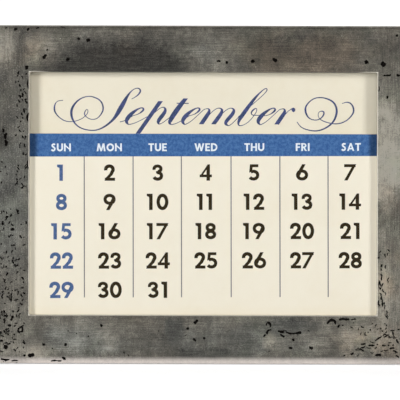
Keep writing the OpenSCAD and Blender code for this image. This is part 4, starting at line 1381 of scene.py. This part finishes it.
def film(name, card, layers, number, behind):
    """The print on one side of a card. number counts cards from the front of the frame; a print
    behind is mirrored, so that it reads when the card is turned round."""
    quads = np.concatenate([quads for quads, ink in layers])
    tags = np.concatenate([np.full(len(quads), n) for n, (quads, ink) in enumerate(layers)])
    corners = quads[:, [0, 1, 2, 0, 2, 3]].reshape(-1, 3, 2)
    tags = np.repeat(tags, 2)
    area = twice_area(corners)
    corners[area < 0] = corners[area < 0][:, ::-1]
    wide = np.abs(area) > SLIVER
    corners, tags = corners[wide], tags[wide]
    points, triangles, origins = laid_together(corners)
    inks = [ink for quads, ink in layers]
    laid = [inks[max(tags[o] for o in origin)] if origin else NO_INK for origin in origins]
    laid = np.array(laid)
    keep = laid != NO_INK
    laid = laid[keep]
    used, triangles = np.unique(triangles[keep], return_inverse=True)
    triangles = triangles.reshape(-1, 3)
    points = points[used]
    count = len(points)

    sides = np.stack([triangles, np.roll(triangles, -1, 1)], -1).reshape(-1, 2)
    lone = ~np.isin(sides[:, 0] * count + sides[:, 1], sides[:, 1] * count + sides[:, 0])
    a, b = sides[lone].T
    walls = np.stack([b, a, a + count, b + count], 1)
    faces = triangles.tolist() + (triangles[:, ::-1] + count).tolist() + walls.tolist()
    slots = np.concatenate([laid, laid, np.repeat(laid, 3)[lone]])

    front = FIRST_CARD + number * CARD_PITCH
    top, bottom = (front + CARD_T + FILM, front + CARD_T - SINK) if behind else \
        (front - FILM, front + SINK)
    x = np.tile(-points[:, 0] if behind else points[:, 0], 2)
    y = np.repeat([top, bottom], count)
    piece = new_piece(name, on_face(x, y, np.tile(points[:, 1], 2)), faces, INKS, slots=slots)
    return fit(piece, card, "date_card" if number < DATE_CARDS else "month_card")


# %% [markdown]
# ## Date prints
#
# A date card carries a blue band with the seven weekday names, six thin rules, and the numbers 1
# to 31 in five rows. Seven prints are needed, one for each weekday that a month can start on. When
# a month would need a sixth row, the last numbers share a cell with the ones above them, on either
# side of a slash. The sheets were fed a hair askew, so the print climbs to the right, and the
# rules were set by hand, so their spacing wanders by a quarter of a millimetre.

# %% Sizes of the date print
PRINT_MIDDLE, PRINT_TURN = 1.0, math.radians(0.23)
BAND_LOW, NAME_STEP, NAME_BASE, NAME_H = 75.87, 17.70, 77.78, 2.84
NAME_GAP, NAME_SPREAD = 0.13, 0.004
RULE_STEP, RULE_LOW, RULE_W = 17.83, 24.28, 0.39
RULE_DRIFT = (0.0, 0.05, -0.1, 0.25, 0.3, 0.1)
FIGURE_STEP, FIGURE_SHIFT, FIGURE_H = 17.62, -0.08, 5.80
FIGURE_GAP, FIGURE_SPREAD = 0.09, 0.013
ROW_TOP, ROW_STEP, ROWS = 69.93, 10.727, 5

# A 1 has its own room on its left and right, and less of it in 21 and 31
FIGURE_ROOM, LATE_ONE = {"1": (0.04, 0.22)}, {"1": (0.15, 0.11)}

# Two numbers that share a cell are smaller, stand apart from its middle, and have a slash
SHARED_SIZE, SHARED_X, SHARED_Z = 0.56, 3.1, 1.75
SLASH = patch((-2.3, -3.0), (-1.9, -3.0), (2.3, 3.0), (1.9, 3.0))
print("columns every %.2f mm, rows every %.2f mm" % (FIGURE_STEP, ROW_STEP))

# %% The band
def askew(quads):
    """Turns quads about the middle of the band's foot by the print's small angle."""
    x, z = quads[..., 0] - PRINT_MIDDLE, quads[..., 1] - BAND_LOW
    c, s = math.cos(PRINT_TURN), math.sin(PRINT_TURN)
    return np.stack([PRINT_MIDDLE + c * x - s * z, BAND_LOW + s * x + c * z], -1)


def rounded_band():
    """The band: a strip across the card's head, as a fan from its middle, with the card's own
    round corners at the top and the print's turn at its foot."""
    inset = 0.03
    turn = np.radians(np.linspace(0, 90, 7))
    r, half, top = CARD_R - inset, CARD_W / 2 - inset, DATE_TOP - inset
    right = np.stack([half - r + r * np.cos(turn), top - r + r * np.sin(turn)], 1)
    foot_right, foot_left = askew(np.array([(half, BAND_LOW), (-half, BAND_LOW)]))
    foot_right[0], foot_left[0] = half, -half
    rim = np.concatenate([[foot_right], right, right[::-1] * (-1, 1), [foot_left]])
    middle = np.broadcast_to((foot_right + foot_left) / 2, rim[:-1].shape)
    return np.stack([middle, rim[:-1], rim[1:], middle], 1)


print("band of %d pieces" % len(rounded_band()))

# %% [markdown]
# The layers of a print are listed from the bottom up, because the last one laid decides the ink:
# first the band, then the names in white on it, the rules and the numbers.

# %% The layers of a date print
def date_layers(start):
    """The layers of the print whose month starts on weekday number start, counting from Sunday."""
    layers = [(rounded_band(), BLUE)]
    for k, name in enumerate(("SUN", "MON", "TUE", "WED", "THU", "FRI", "SAT")):
        middle = PRINT_MIDDLE + (k - 3) * NAME_STEP
        word = set_word(CAPS, name, middle, NAME_BASE, NAME_H, NAME_GAP, NAME_SPREAD)
        layers.append((word, WHITE))
    for k in range(6):
        x = PRINT_MIDDLE + (k - 2.5) * RULE_STEP + RULE_DRIFT[k]
        layers.append((bar(x - RULE_W / 2, RULE_LOW, x + RULE_W / 2, BAND_LOW), RULE))
    for day in range(1, 32):
        cell = start + day - 1
        row, column = divmod(cell, 7)
        ink = SUNDAY if column == 0 else BROWN
        x = PRINT_MIDDLE + FIGURE_SHIFT + (column - 3) * FIGURE_STEP
        z = ROW_TOP - min(row, ROWS - 1) * ROW_STEP
        height = FIGURE_H
        if row == ROWS or (row == ROWS - 1 and cell + 7 <= start + 30):
            height, way = SHARED_SIZE * FIGURE_H, -1 if row == ROWS else 1
            x, z = x - way * SHARED_X, z + way * SHARED_Z
        room = LATE_ONE if day in (21, 31) else FIGURE_ROOM
        foot = z - height / 2
        word = set_word(FIGURES, str(day), x, foot, height, FIGURE_GAP, FIGURE_SPREAD, room)
        layers.append((word, ink))
        if row == ROWS:
            layers.append((SLASH + (x - SHARED_X, z + SHARED_Z), ink))
    return layers[:1] + [(askew(quads), ink) for quads, ink in layers[1:]]


print("layers of a print:", len(date_layers(0)))

# %% Print the date cards
DATE_SIDES = [("date_card_sun_mon", 0, 1), ("date_card_tue_wed", 2, 3),
              ("date_card_thu_fri", 4, 5), ("date_card_sat_blank", 6, None)]
for number, (card, ahead, behind) in enumerate(DATE_SIDES):
    film(card + "_print_front", card, date_layers(ahead), number, False)
    if behind is not None:
        film(card + "_print_back", card, date_layers(behind), number, True)

# %% [markdown]
# ## Month prints
#
# A month card carries only a name, high enough on the card to show above the date cards. Each name
# with its two flourishes is centred on the print.

# %% Month prints
MONTH_BASE, BODY_H, NAME_MIDDLE = 87.70, 5.95, 0.25
MONTH_SIDES = [("month_card_sep_oct", "September", "October"),
               ("month_card_nov_dec", "November", "December"),
               ("month_card_jan_feb", "January", "February"),
               ("month_card_mar_apr", "March", "April"),
               ("month_card_may_jun", "May", "June"),
               ("month_card_jul_aug", "July", "August")]
for number, (card, *names) in enumerate(MONTH_SIDES, start=DATE_CARDS):
    for behind, name in enumerate(names):
        quads = write_name(name, MONTH_BASE, BODY_H)
        middle = (quads[..., 0].min() + quads[..., 0].max()) / 2
        quads = quads + (NAME_MIDDLE - middle, 0.0)
        side = "_print_back" if behind else "_print_front"
        film(card + side, card, [(quads, SCRIPT_BLUE)], number, bool(behind))

# %% [markdown]
# ## The back: where the plate and the leg are
#
# The back is plainer than the face: a sheet steel plate, and a leg that swings on a hinge. Their
# coat is rubbed along the rims and on the beads pressed into them, so the finish has to know how
# far every place is from these. The hinge's axis and the angle of the open leg are read from the
# joint, and the rest are the sizes of the real pieces.

# %% Sizes of the back
fold = next(j for j in frame["joints"] if j["name"] == "leg_fold")
PIVOT_Y = float(np.dot(fold["pos_m"], BACK) - BACK_0) / MM
PIVOT_Z = float(np.dot(fold["pos_m"], UP) - UP_0) / MM
SPREAD = math.radians(-fold["range_deg"][0])

# The leg starts at its shoulders, whose corners are round, and from below them it widens evenly
# until it has the full width of its foot
LEG_TOP_W, LEG_FOOT_W, LEG_T = 40.0, 56.0, 2.0
LEG_SHOULDER, LEG_ROUND, LEG_FULL = 3.0, 4.0, 82.9
LEG_FLARE = (LEG_FOOT_W - LEG_TOP_W) / 2 / (LEG_FULL - LEG_SHOULDER - LEG_ROUND)
PLATE_W, PLATE_LOW, NOTCH_R = 151.7, 7.15, 11.0
BEAD_W, BEAD_H = 1.8, 0.45


def leg_place(y, z):
    """Places along the leg, from its pivot to its foot, and out from its middle plane: the face
    coordinates turned by the angle at which the leg stands open."""
    cos, sin = math.cos(SPREAD), math.sin(SPREAD)
    return (y - PIVOT_Y) * sin - (z - PIVOT_Z) * cos, (y - PIVOT_Y) * cos + (z - PIVOT_Z) * sin


def plate_edges(x, y, z):
    """How far a place is inside the plate's rim and notch, and how high it stands on it."""
    notch = (x * x + (z - FRAME_H) * (z - FRAME_H)).root() - NOTCH_R
    rim = (PLATE_W / 2 - abs(x)).least(z - PLATE_LOW).least(FRAME_H - z).least(notch)
    return rim, y - FRAME_T


def leg_edges(x, y, z):
    """How far a place is inside the leg's outline, and how high it stands on its back."""
    along, out = leg_place(y, z)
    half = LEG_TOP_W / 2 + (along - LEG_SHOULDER - LEG_ROUND) * LEG_FLARE
    return (half - abs(x)).least(along - LEG_SHOULDER), out - LEG_T / 2


print("hinge axis %.1f mm back and %.1f mm up" % (PIVOT_Y, PIVOT_Z))

# %% [markdown]
# ## Powder coat
#
# The plate and the leg are pressed from sheet steel and powder coated: a satin black-grey skin
# whose surface ripples like orange peel. The desk scratches it, and use rubs it to bare steel
# along the rims. A scratch is a thin contour line of a cloud that is stretched one way, drawn only
# where another cloud lets it show.

# %% Powder coat finish
def powder_finish(name, edges):
    """Powder coat: fine pebbles, faint cloudiness and scratches. It is rubbed through to the
    steel along the rim, and thinly along the crest of the pressed bead."""
    coat = Finish(name)
    x, y, z = coat.face_place()
    at = coat.join(x, y, z)
    peel = coat.noise(at, 1.3, 2.0, 0.5)
    grit = coat.noise(at, 5.0, 2.0, 0.6)
    cloud = coat.noise(at, 0.05, 3.0, 0.6)
    tone = coat.mix(cloud.rise(0.3, 0.7), (0.036, 0.036, 0.038), (0.056, 0.056, 0.057))
    tone = coat.mix((grit * 0.5 + peel * 0.5).rise(0.52, 0.72) * 0.35, tone, (0.115, 0.115, 0.115))

    # Scratches, in two directions
    worn = coat.noise(at, 0.07, 3.0, 0.65)
    scratches = 0.0
    for slant in (0.35, -0.8):
        run = coat.join(x * 0.05 + z * slant * 0.05, y * 0.3, z * 0.8 - x * slant * 0.8)
        line = abs(coat.noise(run, 1.0, 1.0) - 0.5)
        scratches = line.rise(0.010, 0.0) + scratches
    scratches = scratches * worn.rise(0.50, 0.62)
    tone = coat.mix(scratches * 0.55, tone, (0.20, 0.20, 0.20))

    rim, proud = edges(x, y, z)
    ragged = grit * 0.5 + worn * 0.9
    walls = 0.3 + 0.7 * proud.rise(-0.6, -0.1)
    bare = (rim.rise(0.75, 0.15) * ragged.rise(0.50, 0.80) * walls).most(
        proud.rise(BEAD_H * 0.55, BEAD_H) * ragged.rise(0.62, 0.95) * 0.7)
    dust = cloud.rise(0.45, 0.75) * 0.10 + rim.rise(4.0, 0.0) * 0.06
    tone = coat.mix(dust, tone, (0.30, 0.285, 0.26))
    tone = coat.mix(bare, tone, (0.40, 0.39, 0.375))
    coat.set(Base_Color=tone, Metallic=bare * 0.8)
    coat.set(Roughness=0.40 + (cloud - 0.5) * 0.3 + dust * 1.2 - scratches * 0.06)
    coat.set(Normal=coat.bump(peel * 0.8 + grit * 0.3 - scratches * 0.3, 0.00012, 0.7))
    return coat


PLATE_COAT = powder_finish("plate_powder_coat", plate_edges)
LEG_COAT = powder_finish("leg_powder_coat", leg_edges)
print("powder coat nodes:", len(PLATE_COAT.tree.nodes))

# %% [markdown]
# ## Brass and steel
#
# The hinge leaf is brushed brass that has begun to brown, and the pin, rivets and screws are
# dulled steel, with painted shade in the screws' slots. All four are one finish with other
# colours: streaks along the way the metal was drawn or brushed, under patches of tarnish.

# %% Brass and steel finishes
def wire_finish(name, colour, dull, along, shaded_depth=None):
    """Drawn or brushed metal: streaks along one way, and dull patches. along stretches the
    three face directions: a small number makes the streaks run that way. The last argument is a
    depth on the face: what lies in front of it, such as a slot's floor, is painted dark as shade."""
    metal = Finish(name)
    x, y, z = metal.face_place()
    run = metal.join(x * along[0], y * along[1], z * along[2])
    streaks = metal.noise(run, 1.0, 3.0, 0.65)
    at = metal.join(x, y, z)
    tarnish = metal.noise(at, 0.22, 4.0, 0.65).rise(0.42, 0.70)
    spots = metal.noise(at, 1.1, 3.0, 0.6).rise(0.60, 0.75)
    tone = metal.mix(streaks * 0.45, colour, [0.72 * c for c in colour])
    tone = metal.mix(tarnish * 0.55 + spots * 0.25, tone, dull)
    # Painted shade: whatever lies nearer the face than the slots' floor is painted dark
    if shaded_depth is not None:
        tone = metal.mix(y.rise(shaded_depth + 0.12, shaded_depth - 0.12) * 0.85, tone, (0.03, 0.027, 0.023))
    metal.set(Base_Color=tone, Metallic=1.0 - 0.35 * tarnish)
    metal.set(Roughness=0.26 + streaks * 0.16 + tarnish * 0.20)
    metal.set(Normal=metal.bump(streaks, 0.00004, 0.5))
    return metal


BRASS = wire_finish("hinge_brass", (0.50, 0.375, 0.18), (0.22, 0.145, 0.065), (0.12, 2.0, 2.4))
# The screws' slots are painted dark, as shade
SCREW_STEEL = wire_finish("screw_steel", (0.44, 0.44, 0.43), (0.24, 0.225, 0.20),
                          (1.5, 1.5, 3.0), shaded_depth=FRAME_T + 0.74)
RIVET_STEEL = wire_finish("rivet_steel", (0.42, 0.42, 0.41), (0.22, 0.205, 0.18), (1.2, 1.2, 1.2))
PIN_STEEL = wire_finish("pin_steel", (0.42, 0.42, 0.41), (0.24, 0.225, 0.20), (0.15, 2.5, 2.5))
print("brass nodes:", len(BRASS.tree.nodes))

# %% [markdown]
# ## Felt and rubber
#
# Felt is a mat of short hairs that lie every way. Real strands of hair would be thousands of
# pieces on parts that are mostly hidden, so noise that is stretched two ways stands for them. The
# liner and the strip under the cards are charcoal, and the strip under the frame is a pale one, so
# that it leaves no mark on a desk. The rubber foot is matt, with a bloom of dust.

# %% Felt finish
def felt_finish(name, colour):
    """Wool felt: hairs that cross each other, seen as stretched noise lying two ways."""
    felt = Finish(name)
    x, y, z = felt.face_place()
    one = felt.noise(felt.join(x * 2.0, y * 4.0, z * 9.0 + x * 3.0), 1.0, 3.0, 0.6)
    other = felt.noise(felt.join(x * 9.0 - z * 3.0, y * 4.0, z * 2.0), 1.0, 3.0, 0.6)
    hairs = one.most(other)
    clumps = felt.noise(felt.join(x, y, z), 0.7, 3.0, 0.6)
    light = [min(1.0, 2.1 * c + 0.02) for c in colour]
    tone = felt.mix((hairs * 0.7 + clumps * 0.4).rise(0.42, 0.86), colour, light)
    felt.set(Base_Color=tone, Roughness=0.96, Specular_IOR_Level=0.1)
    felt.set(Normal=felt.bump(hairs * 0.7 + clumps * 0.5, 0.00025, 0.8))
    return felt


FELT = felt_finish("felt_charcoal", (0.040, 0.040, 0.044))
PALE_FELT = felt_finish("felt_pale", (0.40, 0.39, 0.37))
print("felt nodes:", len(FELT.tree.nodes))

# %% Rubber finish
def rubber_finish(name):
    """Moulded rubber: near black, matt, with a pale bloom in patches."""
    rubber = Finish(name)
    at = rubber.join(*rubber.face_place())
    grain = rubber.noise(at, 4.0, 2.0, 0.6)
    bloom = rubber.noise(at, 0.16, 4.0, 0.65).rise(0.45, 0.75)
    tone = rubber.mix(bloom * 0.45, (0.034, 0.034, 0.034), (0.10, 0.10, 0.098))
    rubber.set(Base_Color=tone, Roughness=0.70 + grain * 0.18)
    rubber.set(Normal=rubber.bump(grain, 0.00005, 0.4))
    return rubber


RUBBER = rubber_finish("foot_rubber")
print("finishes:", len(bpy.data.materials))

# %% [markdown]
# ## Eased edges
#
# No real edge is perfectly sharp: pressed sheet has a small round from the die, turned metal a
# small break. The pieces of the back could be drawn afresh with their rounds, but their solids
# already have every size right, only with sharp edges. So a copy of each is joined up, flat faces
# that were cut into triangles are made whole again, and a Bevel modifier eases every edge by the
# little that its way of making would leave.

# %% Eased copies of the solids
FLAT, SHARP = math.radians(0.6), math.radians(32.0)


def eased(node, body, slot, finish, width, segments=2):
    """A joined-up copy of a CAD node with its edges eased by the width, in millimetres."""
    mesh = frame["nodes"][node].data.copy()
    mesh.name = node + "_eased"
    work = bmesh.new()
    work.from_mesh(mesh)
    bmesh.ops.remove_doubles(work, verts=work.verts, dist=2e-6)
    bmesh.ops.dissolve_limit(work, angle_limit=FLAT, verts=work.verts, edges=work.edges)
    for face in work.faces:
        face.smooth = True
    work.to_mesh(mesh)
    work.free()
    mesh.materials.clear()
    mesh.materials.append(finish.material)
    piece = bpy.data.objects.new(node + "_eased", mesh)
    bpy.context.scene.collection.objects.link(piece)
    bevel = piece.modifiers.new("eased", "BEVEL")
    bevel.width, bevel.segments = width * MM, segments
    bevel.limit_method, bevel.angle_limit = "ANGLE", SHARP
    bevel.harden_normals = True
    return fit(piece, body, slot, node)


eased("back_plate", "housing", "plate_paint", PLATE_COAT, 0.30)
eased("back_screws", "housing", "screw_steel", SCREW_STEEL, 0.10)
eased("hinge_leaf", "housing", "hinge_brass", BRASS, 0.16)
eased("hinge_rivets", "housing", "screw_steel", RIVET_STEEL, 0.08)
eased("hinge_pin", "housing", "pin_steel", PIN_STEEL, 0.20)
eased("easel_leg", "leg", "leg_paint", LEG_COAT, 0.28)
eased("leg_foot", "leg", "foot_rubber", RUBBER, 0.5, segments=3)
eased("back_liner", "housing", "felt", FELT, 0.12)
eased("rest_strip", "housing", "felt", FELT, 0.15)
eased("base_felt", "housing", "felt", PALE_FELT, 0.15)

# %% [markdown]
# ## Pressed beads
#
# Thin sheet drums and bends, so the press also puts a low bead into it, well inside the rim. It
# could be drawn as bumps in the finish, but then it would vanish when it is seen along the sheet.
# A bead is an ellipse carried along a path: a round-cornered rectangle on the back plate, and one
# that widens towards the foot on the leg. Its lower half is sunk into the sheet.

# %% Beads in the plate and the leg
def bead(name, path, place, body, slot, finish):
    """A ridge along a closed path of x and height. Each point of the section is the path's
    point, moved across it by half the width times the cosine of an angle, and out from the
    sheet by the height times its sine. place turns across, out and height into metres."""
    way = np.roll(path, -1, 0) - np.roll(path, 1, 0)
    way /= np.linalg.norm(way, axis=1, keepdims=True)
    across = np.stack([-way[:, 1], way[:, 0]], 1)[:, None, :]
    angle = np.linspace(0, 2 * np.pi, 12, endpoint=False)[None, :]
    middle = path[:, None, :] + across * (0.5 * BEAD_W * np.cos(angle))[..., None]
    out = np.broadcast_to(BEAD_H * np.sin(angle), middle.shape[:2])
    points = place(middle[..., 0].ravel(), out.ravel(), middle[..., 1].ravel())
    faces = grid_faces(len(path), angle.size, close_rows=True)
    return fit(new_piece(name, points, faces[:, ::-1], [finish], smooth=60), body, slot)


def on_leg(x, out, along):
    """Metres of places given along the open leg, and out from its back."""
    cos, sin = math.cos(SPREAD), math.sin(SPREAD)
    out = out + LEG_T / 2
    return on_face(x, PIVOT_Y + along * sin + out * cos, PIVOT_Z - along * cos + out * sin)


plate_path = outline(half_w=66.0, low=14.6, high=110.2, r_low=8.0, r_high=8.0)
bead("back_plate_bead", plate_path, lambda x, out, z: on_face(x, FRAME_T + out, z),
     "housing", "plate_paint", PLATE_COAT)
half, near = 13.6, 13.0
leg_path = outline(half_w=half, low=near, high=76.0, r_low=6.0, r_high=6.0)
leg_path[:, 0] *= 1.0 + LEG_FLARE * (leg_path[:, 1] - near) / half
bead("easel_leg_bead", leg_path, on_leg, "leg", "leg_paint", LEG_COAT)

# %% [markdown]
